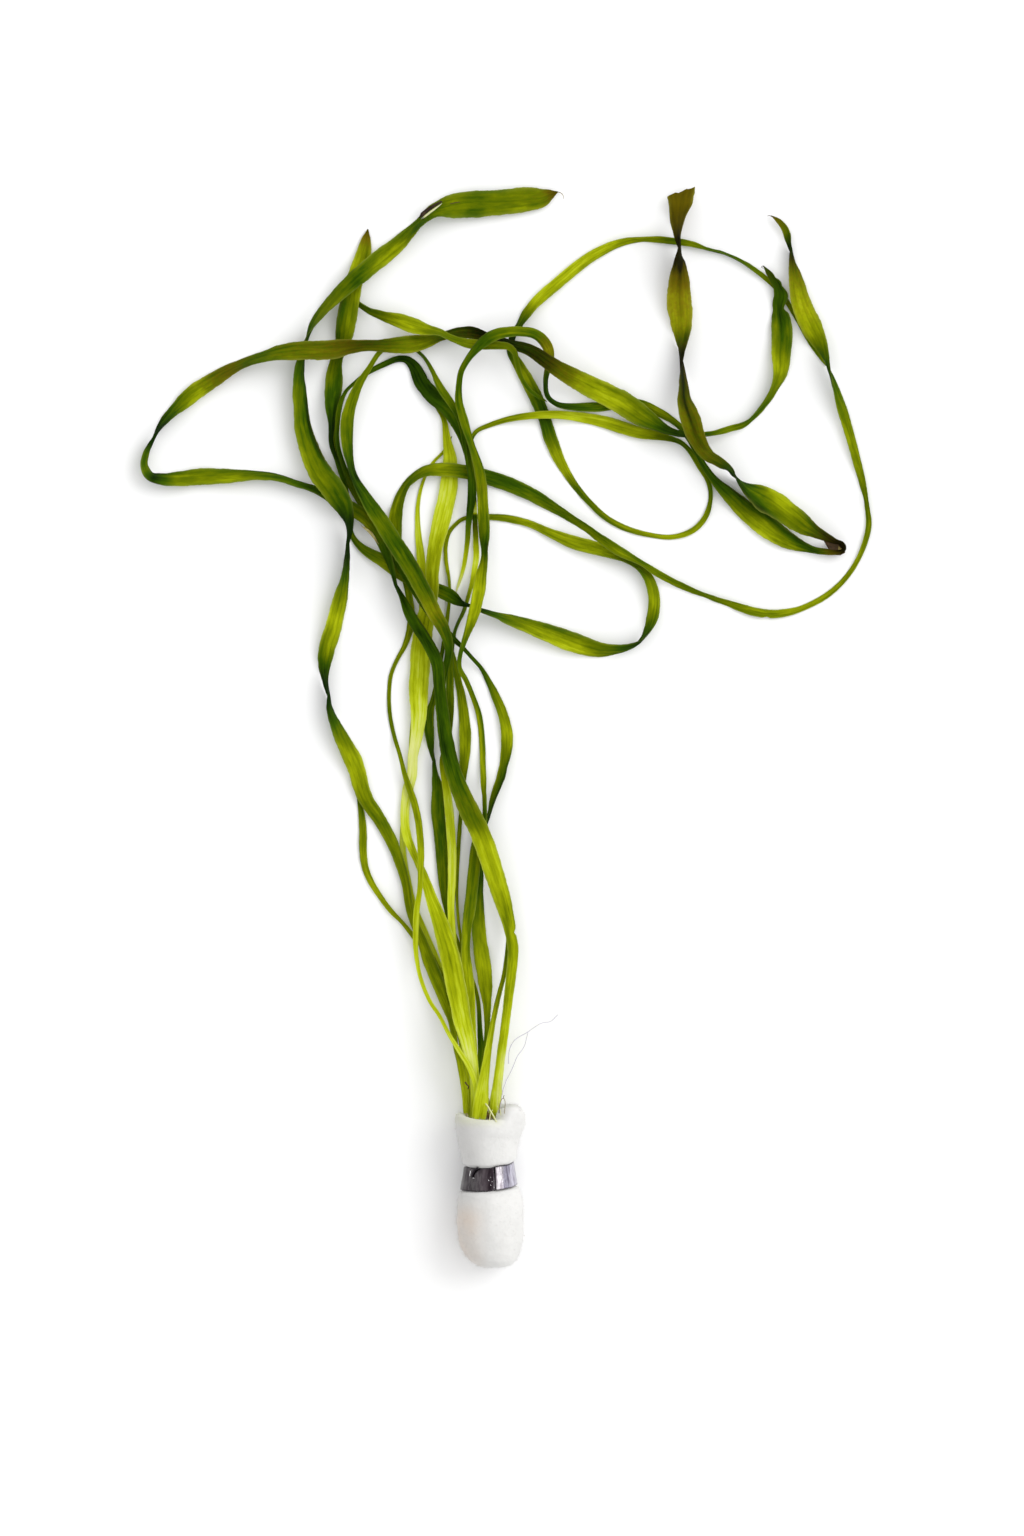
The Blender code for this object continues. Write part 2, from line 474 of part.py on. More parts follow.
# Stations kept as cross sections: close together where the leaf bends, twists or climbs
def pick_sections(leaf):
    xyz = np.column_stack([leaf["xy"], leaf["z"]])
    heading = np.gradient(xyz, axis=0)
    heading /= np.linalg.norm(heading, axis=1)[:, None]
    bend = np.linalg.norm(np.diff(heading, axis=0), axis=1)
    twist = np.abs(np.diff(leaf["roll"])) * leaf["width"][1:] / USUAL_LEAF_WIDTH
    cost = np.cumsum(1 / SECTION_STATIONS + bend / SECTION_BEND + twist / SECTION_TWIST)
    count = int(math.ceil(cost[-1]))
    marks = np.searchsorted(cost, np.linspace(0, cost[-1], count + 1)[1:-1]) + 1
    return np.unique(np.concatenate([[0], marks, [len(xyz) - 1]]))


def build_leaf(name, leaf):
    xyz = np.column_stack([leaf["xy"], leaf["z"]])
    along = np.gradient(xyz, axis=0)
    side = side_vectors(leaf["xy"])
    work = bmesh.new()
    rings = []
    for i in pick_sections(leaf):
        level_side = Vector((side[i][0], side[i][1], 0.0))
        up = Vector(along[i]).normalized().cross(level_side)
        across = level_side * math.cos(leaf["roll"][i]) + up * math.sin(leaf["roll"][i])
        face = up * math.cos(leaf["roll"][i]) - level_side * math.sin(leaf["roll"][i])
        half = across * max(leaf["width"][i] / 2, LEAF_LEAST_HALF_WIDTH)
        thick = face * (LEAF_THICKNESS / 2)
        middle = Vector(xyz[i])
        corners = (middle - half - thick, middle + half - thick,
                   middle + half + thick, middle - half + thick)
        rings.append([work.verts.new(corner) for corner in corners])
    for before, after in zip(rings, rings[1:]):
        for k in range(4):
            n = (k + 1) % 4
            work.faces.new((before[k], before[n], after[n], after[k]))
    work.faces.new(rings[0][::-1])
    work.faces.new(rings[-1])
    bmesh.ops.triangulate(work, faces=work.faces, quad_method="SHORT_EDGE")
    material = plain_material(name, LEAF_COLOURS[name], LEAF_ROUGHNESS, 0.0)
    return add_object(name, work, material)


# A loop of corners round the plug's axis, squashed flat where it would pass below z = 0
def ring(work, centre_x, y, half_width, half_height):
    loop = []
    for k in range(FOAM_SIDES):
        turn = 2 * math.pi * (k + 0.5) / FOAM_SIDES
        x = centre_x + half_width * math.cos(turn)
        z = max(FOAM_CENTRE_Z + half_height * math.sin(turn), 0.0)
        loop.append(work.verts.new((x, y, z)))
    return loop


def join_rings(work, rings):
    for before, after in zip(rings, rings[1:]):
        for k in range(len(before)):
            n = (k + 1) % len(before)
            work.faces.new((before[k], before[n], after[n], after[k]))
    work.faces.new(rings[0])
    work.faces.new(rings[-1])


# The foam is one roll: round and full at both ends, pinched in under the strip, with a
# mouth for the leaf bases and a narrower bore behind it for the crown
def build_foam():
    lower_edge = WAIST_Y - WAIST_HALF_LENGTH
    upper_edge = WAIST_Y + WAIST_HALF_LENGTH
    outline = [(FOAM_END_Y + forward, radius) for forward, radius in FOAM_END_OUTLINE]
    outline.append((lower_edge - SHOULDER_LENGTH, WAIST_LOWER_SHOULDER))
    outline.append((lower_edge, WAIST_RADIUS + STRIP_FLARE / 2))
    outline.append((upper_edge, WAIST_RADIUS - STRIP_FLARE / 2))
    outline.append((upper_edge + SHOULDER_LENGTH, WAIST_UPPER_SHOULDER))
    outline += [(FOAM_MOUTH_Y - back, radius) for back, radius in FOAM_MOUTH_OUTLINE]
    work = bmesh.new()
    rings = [ring(work, FOAM_CENTRE_X, y, radius, radius) for y, radius in outline]
    floor_y = FOAM_MOUTH_Y - MOUTH_DEPTH
    rings.append(ring(work, MOUTH_CENTRE_X, FOAM_MOUTH_Y, MOUTH_HALF_WIDTH, MOUTH_HALF_HEIGHT))
    rings.append(ring(work, MOUTH_CENTRE_X, floor_y, MOUTH_FLOOR_HALF_WIDTH,
                      MOUTH_FLOOR_HALF_HEIGHT))
    rings.append(ring(work, FOAM_CENTRE_X, floor_y - MOUTH_FLOOR_SLOPE, BORE_RADIUS, BORE_RADIUS))
    rings.append(ring(work, FOAM_CENTRE_X, BORE_END_Y, BORE_RADIUS, BORE_RADIUS))
    join_rings(work, rings)
    material = plain_material("foam_plug", FOAM_COLOUR, FOAM_ROUGHNESS, 0.0)
    return add_object("foam_plug", work, material)


# The strip is a flat band wound once and a bit, its outer end lying over its inner end.
# It is a little wider round at its lower edge.
def build_strip():
    work = bmesh.new()
    rings = []
    for step in range(STRIP_STEPS + 1):
        share = step / STRIP_STEPS
        turn = math.radians(STRIP_START_DEGREES + STRIP_TURN_DEGREES * share)
        inner = STRIP_INNER_RADIUS + STRIP_LAP_LIFT * share
        outer = inner + STRIP_THICKNESS
        middle_y = WAIST_Y + STRIP_SLANT * math.cos(turn)
        corners = []
        for radius, side in ((inner, -1), (outer, -1), (outer, 1), (inner, 1)):
            flared = radius - side * STRIP_FLARE / 2
            corners.append(work.verts.new((FOAM_CENTRE_X + flared * math.cos(turn),
                                           middle_y + side * STRIP_WIDTH / 2,
                                           FOAM_CENTRE_Z + flared * math.sin(turn))))
        rings.append(corners)
    join_rings(work, rings)
    material = plain_material("metal_strip", STRIP_COLOUR, STRIP_ROUGHNESS, 1.0)
    return add_object("metal_strip", work, material)


# The crown is the short solid stem that the leaves grow from, inside the bore
def build_crown():
    work = bmesh.new()
    rings = []
    for back, share in CROWN_OUTLINE:
        rings.append(ring(work, FOAM_CENTRE_X, CROWN_TOP_Y - back, CROWN_RADIUS * share,
                          CROWN_RADIUS * share))
    join_rings(work, rings)
    material = plain_material("crown", CROWN_COLOUR, CROWN_ROUGHNESS, 0.0)
    return add_object("crown", work, material)


def main():
    clear_objects()
    leaves = [even_stations(route) for route in LEAF_ROUTES.values()]
    settle(leaves)
    for name, leaf in zip(LEAF_ROUTES, leaves):
        build_leaf(name, leaf)
    build_foam()
    build_strip()
    build_crown()


main()
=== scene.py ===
# Twisted vallisneria bunch, lying flat: twelve ribbon leaves, a foam plug round their bases
# and a soft metal strip round the plug. Metres, +X right, +Y towards the leaf tips, +Z up.
import math

import bmesh
import bpy
import numpy as np
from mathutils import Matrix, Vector, noise
from mathutils.kdtree import KDTree


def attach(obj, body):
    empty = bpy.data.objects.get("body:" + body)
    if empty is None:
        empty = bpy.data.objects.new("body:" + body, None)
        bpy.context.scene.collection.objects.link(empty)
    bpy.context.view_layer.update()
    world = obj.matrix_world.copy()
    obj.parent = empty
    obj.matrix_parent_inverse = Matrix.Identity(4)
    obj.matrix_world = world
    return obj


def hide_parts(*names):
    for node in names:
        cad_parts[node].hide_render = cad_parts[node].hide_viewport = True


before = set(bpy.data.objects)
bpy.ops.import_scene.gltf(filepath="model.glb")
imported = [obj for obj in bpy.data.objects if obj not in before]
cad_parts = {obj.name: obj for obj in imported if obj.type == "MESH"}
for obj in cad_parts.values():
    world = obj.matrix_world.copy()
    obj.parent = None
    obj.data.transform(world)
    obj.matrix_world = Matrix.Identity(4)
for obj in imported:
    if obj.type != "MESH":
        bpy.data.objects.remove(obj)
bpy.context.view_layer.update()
mm = 0.001
print("frame loaded with", len(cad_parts), "nodes")


# An output in a node tree, so that node maths reads as plain arithmetic
class Value:
    def __init__(self, socket):
        self.socket = socket

    __add__ = lambda a, b: calc("ADD", a, b)
    __sub__ = lambda a, b: calc("SUBTRACT", a, b)
    __rsub__ = lambda a, b: calc("SUBTRACT", b, a)
    __mul__ = lambda a, b: calc("MULTIPLY", a, b)
    __truediv__ = lambda a, b: calc("DIVIDE", a, b)
    __rtruediv__ = lambda a, b: calc("DIVIDE", b, a)
    __pow__ = lambda a, b: calc("POWER", a, b)
    __abs__ = lambda a: calc("ABSOLUTE", a)


def treeOf(*terms):
    return next(term.socket.id_data for term in terms if isinstance(term, Value))


# Links or sets a node's inputs
def fill(inputs, values):
    for key, source in values.items():
        if isinstance(source, Value):
            treeOf(source).links.new(source.socket, inputs[key])
        else:
            inputs[key].default_value = source


# Adds a node and returns one of its outputs
def put(tree, kind, inputs=None, out=0, **settings):
    node = tree.nodes.new(kind)
    for name, value in settings.items():
        setattr(node, name, value)
    fill(node.inputs, inputs or {})
    return Value(node.outputs[out])


def outputs(value):
    return [Value(socket) for socket in value.socket.node.outputs]


def calc(operation, *terms):
    return put(treeOf(*terms), "ShaderNodeMath", dict(enumerate(terms)), operation=operation)


def scaled(vector, amount):
    return put(treeOf(vector), "ShaderNodeVectorMath", {0: vector, "Scale": amount},
               operation="SCALE")


def added(a, b):
    return put(treeOf(a), "ShaderNodeVectorMath", {0: a, 1: b}, operation="ADD")


def joinXyz(*parts):
    return put(treeOf(*parts), "ShaderNodeCombineXYZ", dict(enumerate(parts)))


def splitXyz(vector):
    return outputs(put(treeOf(vector), "ShaderNodeSeparateXYZ", {0: vector}))


def noiseAt(place, scale, detail, roughness=0.5, out=0):
    return put(treeOf(place), "ShaderNodeTexNoise", {"Vector": place, "Scale": scale,
               "Detail": detail, "Roughness": roughness}, out)


# 0 on one side of a stretch of values, 1 on the other, smooth between
def fade(value, start, end):
    return put(treeOf(value), "ShaderNodeMapRange", {"Value": value, "From Min": start,
               "From Max": end}, interpolation_type="SMOOTHSTEP")


# A node group. Its inputs are numbers, or the names of other kinds of socket.
def newTree(name, kind, inputs, outlets):
    tree = bpy.data.node_groups.new(name, kind)
    for label, value in inputs.items():
        socketType = "NodeSocket" + {int: "Int", float: "Float"}.get(type(value), str(value))
        socket = tree.interface.new_socket(label, in_out="INPUT", socket_type=socketType)
        if not isinstance(value, str):
            socket.default_value = value
    for label, socketType in outlets.items():
        tree.interface.new_socket(label, in_out="OUTPUT", socket_type="NodeSocket" + socketType)
    entry = {socket.name: Value(socket) for socket in tree.nodes.new("NodeGroupInput").outputs}
    return tree, entry, tree.nodes.new("NodeGroupOutput").inputs


# Lifts what would be under the floor to just above it
def keepAbove(tree, geometry):
    x, y, z = splitXyz(put(tree, "GeometryNodeInputPosition"))
    above = joinXyz(x, y, calc("MAXIMUM", z, 0.02 * mm))
    return put(tree, "GeometryNodeSetPosition", {"Geometry": geometry, "Position": above})


# The end of each Geometry Nodes tree
def paint(tree, entry, leave, geometry):
    real = put(tree, "GeometryNodeRealizeInstances", {"Geometry": geometry})
    fill(leave, {"Geometry": put(tree, "GeometryNodeSetMaterial",
                                 {"Geometry": real, "Material": entry["Material"]})})
    return tree


# Runs a node tree on a mesh object and leaves the result as a plain mesh object
def grow(source, tree, values, piece):
    modifier = source.modifiers.new("grow", "NODES")
    modifier.node_group = tree
    for item in tree.interface.items_tree:
        if item.item_type == "SOCKET" and item.in_out == "INPUT" and item.name in values:
            modifier[item.identifier] = values[item.name]
    graph = bpy.context.evaluated_depsgraph_get()
    mesh = bpy.data.meshes.new_from_object(source.evaluated_get(graph), depsgraph=graph)
    source.modifiers.remove(modifier)
    bpy.data.objects.remove(source)
    return newObject(piece, mesh)


def newObject(name, data):
    data.name = name
    thing = bpy.data.objects.new(name, data)
    bpy.context.scene.collection.objects.link(thing)
    return thing


def pointsMesh(name, points, edges, columns):
    mesh = bpy.data.meshes.new(name)
    mesh.from_pydata([tuple(p) for p in points], edges, [])
    for label, values in columns.items():
        values = np.asarray(values, np.float32)
        vector = values.ndim == 2
        column = mesh.attributes.new(label, "FLOAT_VECTOR" if vector else "FLOAT", "POINT")
        column.data.foreach_set("vector" if vector else "value", values.ravel())
    return newObject(name, mesh)


# Skins rings of vertices one to the next, closes an end to a point, and makes the mesh
def stitch(work, loops):
    for before, after in zip(loops, loops[1:]):
        for k in range(len(before)):
            n = (k + 1) % len(before)
            work.faces.new((before[k], before[n], after[n], after[k]))


def closeEnd(work, loop):
    middle = work.verts.new(sum((v.co for v in loop), Vector()) / len(loop))
    for k in range(len(loop)):
        work.faces.new((loop[k], loop[(k + 1) % len(loop)], middle))
    return middle


def meshPiece(work, name, material):
    bmesh.ops.recalc_face_normals(work, faces=work.faces)
    mesh = bpy.data.meshes.new(name)
    work.to_mesh(mesh)
    work.free()
    mesh.shade_smooth()
    mesh.materials.append(material)
    return newObject(name, mesh)


# Camera, floor and lights
view = {
    "middle": (1.65, -12.6),   # the place the camera looks down on, in millimetres
    "tall": 460.8,             # how much of the floor the picture's height takes in
    "lens": 200.0,
    "sensor": 36.0,
    "farthest": 50.0,
}


def makeCamera():
    data = bpy.data.cameras.new("camera")
    data.lens = view["lens"]
    data.sensor_width = view["sensor"]
    data.clip_end = view["farthest"]
    distance = view["tall"] * mm * view["lens"] / view["sensor"]
    camera = newObject("camera", data)
    camera.location = (view["middle"][0] * mm, view["middle"][1] * mm, distance)
    bpy.context.scene.camera = camera


studio = {
    "floorSize": 12.0,
    "floorColour": (0.86, 0.86, 0.86),
    "keyFrom": (0.64, 0.40, 0.65),
    "keyStrength": 1.05,
    "keySpread": 40,           # degrees across, which sets how soft the shadows are
    "dimSide": 0.70,           # the room's light on the left and low down
    "brightSide": 1.42,        # and overhead to the right
    "brightFrom": (0.60, 0.30, 0.74),
    "dimFrom": -0.2,           # where the room's light is dimmest, as a cosine from there
    "backdrop": (0.93, 0.93, 0.93),
}


def makeFloor():
    half = studio["floorSize"] / 2
    mesh = bpy.data.meshes.new("floor")
    mesh.from_pydata([(-half, -half, 0), (half, -half, 0), (half, half, 0), (-half, half, 0)],
                     [], [(0, 1, 2, 3)])
    floor = newObject("floor", mesh)
    material, _, shader = newMaterial("palePaper")
    fill(shader, {"Base Color": (*studio["floorColour"], 1), "Roughness": 1.0,
                  "Specular IOR Level": 0.0})
    mesh.materials.append(material)


def makeLights():
    data = bpy.data.lights.new("keyLight", "SUN")
    data.energy = studio["keyStrength"]
    data.angle = math.radians(studio["keySpread"])
    key = newObject("keyLight", data)
    key.rotation_mode = "QUATERNION"
    key.rotation_quaternion = Vector(studio["keyFrom"]).to_track_quat("Z", "Y")

    world = bpy.data.worlds.new("studio")
    bpy.context.scene.world = world
    world.use_nodes = True
    tree = world.node_tree
    tree.nodes.clear()
    side = put(tree, "ShaderNodeVectorMath",
               {0: put(tree, "ShaderNodeTexCoord"), 1: Vector(studio["brightFrom"]).normalized()},
               out=1, operation="DOT_PRODUCT")
    glow = put(tree, "ShaderNodeMapRange", {
        "Value": side, "From Min": studio["dimFrom"], "From Max": 1.0,
        "To Min": studio["dimSide"], "To Max": studio["brightSide"]})
    room = put(tree, "ShaderNodeBackground", {"Color": (1, 1, 1, 1), "Strength": glow})
    paper = put(tree, "ShaderNodeBackground", {"Color": (*studio["backdrop"], 1), "Strength": 1.0})
    seen = put(tree, "ShaderNodeLightPath")
    both = put(tree, "ShaderNodeMixShader", {0: seen, 1: room, 2: paper})
    fill(tree.nodes.new("ShaderNodeOutputWorld").inputs, {"Surface": both})


def newMaterial(name):
    material = bpy.data.materials.new(name)
    material.use_nodes = True
    tree = material.node_tree
    return material, tree, tree.nodes["Principled BSDF"].inputs


bpy.context.scene.view_settings.view_transform = "Standard"
makeCamera()
makeFloor()
makeLights()
print("camera, floor and lights made")


# The leaves. Each has its route from tip to base, drawn on a layout sheet ruled every
# 0.3 mm: (sheet x, sheet y, width seen from above), with a fourth number where its place in
# the pile changes. shades are (millimetres from the tip, tone, brown, lean, streak), the last
# four in hundredths and with noughts at the end left off: tone runs from deep green 0 to pale
# lime 100 and holds painted shade where the blade turns on edge or lies under other leaves
# as well as its own colour, lean is painted shade that darkens the side to the left of the
# way from tip to base, and streak is a dark one down the middle. nicks are (millimetres from
# the tip, side, depth as a share of the half width, length in millimetres), and a negative
# depth widens the leaf. tear is how ragged a torn tip is, in millimetres.
sheet = {"step": 0.0003, "centreX": 506.5, "centreY": 726.0}

tallLeftLeaf = {
    "piece": "tall_left_leaf", "node": "leaf_tall_left", "slot": "leaf_green",
    "route": [
        (558, 192, 2, 7), (550, 195, 12), (540, 199, 20), (500, 203, 25), (460, 205, 24),
        (435, 212, 14), (420, 224, 8), (402, 242, 15), (378, 261, 18), (353, 283, 17),
        (333, 302, 13), (317, 320, 9), (307, 340, 5), (302, 362, 8, 7), (300, 380, 11, 6),
        (301, 400, 14), (304, 430, 17), (312, 455, 20), (322, 475, 24), (336, 494, 23),
        (345, 510, 17), (349, 530, 5), (348, 545, 3, 6), (344, 580, 9, 3), (340, 600, 14),
        (334, 625, 16), (327, 650, 17), (325, 670, 10), (329, 697, 2), (331, 710, 6),
        (339, 731, 13), (355, 765, 18), (365, 797, 15), (380, 820, 13), (391, 840, 12),
        (399, 860, 10), (406, 885, 8), (409, 905, 8), (414, 922, 8), (422, 940, 9),
        (429, 960, 13), (437, 980, 13), (445, 1000, 11), (452, 1020, 7), (457, 1048, 5),
        (461, 1065, 6), (465, 1090, 7), (467, 1117, 6), (472, 1148, 5)],
    "shades": [
        (0, 22, 100), (2, 32, 80), (4, 46, 40), (6, 52, 25, -20), (18, 48, 14, -20),
        (24, 38, 12, -10), (27, 36, 12), (32, 42, 10), (38, 45, 10), (45, 42, 20),
        (52, 66, 0, -50), (60, 58, 0, -50), (69, 26), (78, 56, 0, -40), (87, 50, 0, -20),
        (99, 36, 0, 40), (111, 44, 0, 90), (118, 42, 10, 95), (128, 46, 0, 90),
        (139, 42, 0, 50), (145, 34, 0, 30), (150, 18), (157, 10), (167, 42, 0, 20),
        (172, 56, 0, 20), (180, 76), (188, 58, 0, -20), (195, 32), (203, 10), (214, 44, 10, 20),
        (222, 66, 10), (228, 70), (238, 48), (248, 42, 0, 20), (257, 46, 0, 20), (277, 54),
        (289, 50, 0, 20), (302, 54, 0, 20), (317, 64, 0, 30), (328, 80, 10), (338, 90, 20)],
    "nicks": [
        (9.5, -1, -0.25, 4.5), (27, 1, -0.22, 7)],
}

shortLeftLeaf = {
    "piece": "short_left_leaf", "node": "leaf_short_left", "slot": "leaf_green",
    "route": [
        (357, 788, 3, 2), (361, 810, 6), (363, 830, 8), (363, 850, 8), (366, 870, 7),
        (376, 890, 6), (391, 910, 5), (405, 925, 4), (415, 938, 5), (424, 948, 4),
        (432, 955, 3), (438, 966, 3), (447, 985, 3), (453, 1010, 3), (458, 1030, 3),
        (462, 1050, 4), (468, 1085, 5), (469, 1117, 5), (475, 1148, 4)],
    "shades": [
        (0, 16, 10), (6, 42), (13, 52), (25, 62), (39, 65), (54, 62), (75, 55), (98, 76),
        (108, 85, 10)],
}

rightSweepLeaf = {
    "piece": "right_sweep_leaf", "node": "leaf_right_sweep", "slot": "leaf_green",
    "route": [
        (771, 216, 2, 8), (779, 222, 6), (785, 230, 7), (790, 248, 2), (794, 270, 12),
        (800, 300, 19), (810, 325, 22), (820, 345, 14), (828, 368, 3), (835, 390, 7),
        (845, 420, 10), (855, 455, 9), (863, 485, 6), (868, 510, 4), (868, 530, 6),
        (860, 555, 5), (848, 575, 5), (830, 593, 6), (800, 609, 6), (775, 614, 9),
        (755, 612, 9), (725, 602, 6), (700, 593, 5, 8), (680, 585, 6, 3), (660, 575, 7),
        (640, 563, 4), (620, 552, 10), (600, 538, 8), (575, 520, 7), (550, 505, 11),
        (530, 494, 14), (510, 485, 15), (490, 478, 15), (470, 473, 14), (445, 470, 14),
        (425, 472, 11), (410, 482, 8, 3), (402, 495, 9, 0.5), (397, 510, 13), (395, 530, 14),
        (398, 550, 10), (403, 570, 8), (408, 590, 7), (411, 622, 8), (405, 645, 5, 0.5),
        (397, 660, 4, 10), (391, 675, 4), (389, 695, 4), (390, 715, 4), (394, 735, 4),
        (400, 755, 4), (405, 775, 5), (410, 790, 7), (415, 805, 7), (419, 825, 7),
        (421, 850, 7), (421, 870, 6), (420, 890, 5), (417, 910, 6), (416, 930, 6),
        (416, 950, 5), (418, 965, 4), (421, 978, 4), (430, 1000, 4), (440, 1015, 4),
        (450, 1034, 4), (460, 1050, 5), (470, 1066, 6), (476, 1085, 6), (478, 1117, 6),
        (481, 1148, 5)],
    "shades": [
        (0, 30, 80), (3, 36, 55), (7, 45, 30), (11, 20, 30), (15, 22, 60), (18, 38, 50, 20),
        (25, 64, 36, 30), (30, 67, 36, 40), (38, 62, 20, 20), (43, 50, 10), (57, 45), (77, 55),
        (100, 50), (115, 55), (133, 60), (147, 55), (164, 50), (177, 45), (191, 52, 0, -20),
        (208, 46, 0, -20), (223, 38, 0, -20), (236, 24), (250, 50), (262, 45), (271, 50, 0, 40),
        (278, 50, 0, 40), (295, 40), (312, 50), (328, 45), (347, 45), (368, 62), (382, 66),
        (400, 85), (415, 85), (434, 90), (461, 90)],
    "nicks": [
        (143, 1, 0.35, 0.7)],
}

paleBroadLeaf = {
    "piece": "pale_broad_leaf", "node": "leaf_pale_broad", "slot": "leaf_pale",
    "route": [
        (430, 395, 3, 2), (437, 407, 4), (444, 420, 5), (447, 440, 8), (450, 460, 14),
        (449, 485, 18), (443, 515, 18), (436, 545, 15), (433, 570, 14), (432, 590, 14, 2.5),
        (429, 606, 16), (425, 622, 18, 2.5), (421, 650, 20, 9), (419, 690, 20), (419, 712, 16),
        (417, 735, 12), (413, 755, 10), (412, 775, 10), (408, 790, 11), (405, 808, 9),
        (406, 832, 9), (413, 853, 6), (423, 875, 8), (432, 900, 12), (441, 925, 16),
        (450, 955, 20), (457, 990, 20), (463, 1020, 18), (469, 1045, 14), (474, 1070, 10),
        (475, 1090, 8), (475, 1117, 8), (479, 1148, 6)],
    "shades": [
        (0, 30), (15, 74), (21, 80, 0, 10), (37, 85, 0, 10), (54, 85), (70, 66), (80, 78),
        (91, 80), (100, 100), (106, 112), (116, 117), (134, 84), (148, 84), (164, 68),
        (184, 76, 0, 10), (196, 93, 0, 45), (203, 102, 0, 45), (213, 92, 0, 10), (223, 75)],
}

paleNarrowLeaf = {
    "piece": "pale_narrow_leaf", "node": "leaf_pale_narrow", "slot": "leaf_pale",
    "route": [
        (452, 436, 2, 1), (444, 451, 3), (432, 464, 3), (423, 482, 3), (418, 505, 4),
        (418, 530, 6), (421, 560, 9), (423, 590, 8), (422, 622, 7), (418, 655, 6),
        (414, 690, 6), (414, 712, 5), (412, 735, 5), (411, 755, 5), (410, 775, 5),
        (406, 800, 5), (403, 830, 6), (403, 850, 6), (405, 868, 7), (408, 885, 8),
        (413, 905, 7), (425, 932, 6), (437, 960, 6), (447, 985, 6), (456, 1010, 6),
        (464, 1040, 5), (469, 1060, 5), (473, 1090, 5), (474, 1117, 5), (478, 1148, 4)],
    "shades": [
        (0, 50), (10, 75), (31, 80), (59, 70), (86, 85), (112, 95), (133, 90), (153, 85),
        (170, 90), (187, 90), (211, 80)],
}

middleLoopLeaf = {
    "piece": "middle_loop_leaf", "node": "leaf_middle_loop", "slot": "leaf_green",
    "route": [
        (368, 229, 2, 4), (366, 240, 10), (362, 258, 15), (354, 285, 18), (347, 320, 20),
        (343, 345, 14), (337, 362, 11), (334, 385, 18), (332, 402, 15, 3), (331, 425, 5),
        (331, 445, 3, 2), (337, 462, 4), (345, 485, 5), (349, 515, 5), (352, 535, 5),
        (362, 548, 8), (385, 562, 14), (400, 573, 13), (416, 582, 13), (432, 588, 13, 1.8),
        (448, 595, 14), (460, 602, 7), (467, 605, 3), (475, 608, 3), (484, 611, 4),
        (500, 616, 9), (520, 623, 13), (545, 632, 18), (575, 643, 20), (600, 650, 14),
        (625, 649, 7), (638, 643, 2), (648, 630, 8), (654, 605, 12), (651, 585, 11, 1.8),
        (642, 570, 9, 1.5), (625, 560, 6), (600, 550, 13), (575, 543, 14), (550, 533, 9),
        (530, 524, 7), (510, 519, 8), (490, 517, 6), (475, 517, 5), (463, 519, 4),
        (455, 525, 4), (449, 533, 4), (446, 545, 4), (446, 560, 4, 1.2), (449, 583, 3),
        (449, 600, 3), (447, 620, 4, 1.2), (440, 665, 4, 4), (433, 700, 5), (430, 712, 9),
        (429, 725, 10), (431, 742, 8), (434, 762, 2), (436, 775, 7), (438, 792, 12),
        (438, 812, 14), (441, 840, 13), (443, 870, 12), (444, 890, 9), (447, 915, 3),
        (453, 932, 4), (459, 947, 5), (464, 962, 3), (470, 973, 3), (474, 983, 3),
        (478, 1000, 4), (480, 1030, 5), (481, 1050, 7), (479, 1072, 6), (477, 1090, 5),
        (475, 1105, 4), (475, 1117, 4), (480, 1148, 4)],
    "shades": [
        (0, 20, 80), (3, 50, 70), (6, 60, 30), (12, 66, 10, 30), (19, 47, 10, -70),
        (33, 42, 5, -70), (45, 44, 0, 50), (53, 26, 0, 30), (62, 22), (74, 25), (88, 25),
        (107, 45), (123, 38, 0, 30), (135, 15), (146, 50), (160, 58, 0, 70), (165, 62, 0, 85),
        (171, 66, 5, 60), (182, 45), (192, 35), (202, 55), (213, 45), (227, 62, 0, 20),
        (240, 60, 0, 20), (256, 50), (270, 50), (284, 62), (303, 40), (315, 20), (333, 35),
        (350, 35), (361, 32, 0, 30), (378, 35), (392, 50), (407, 62), (419, 45),
        (431, 28, 0, 20), (442, 34, 0, 20), (448, 60), (455, 75)],
    "nicks": [
        (6.5, 1, -0.2, 3)],
}

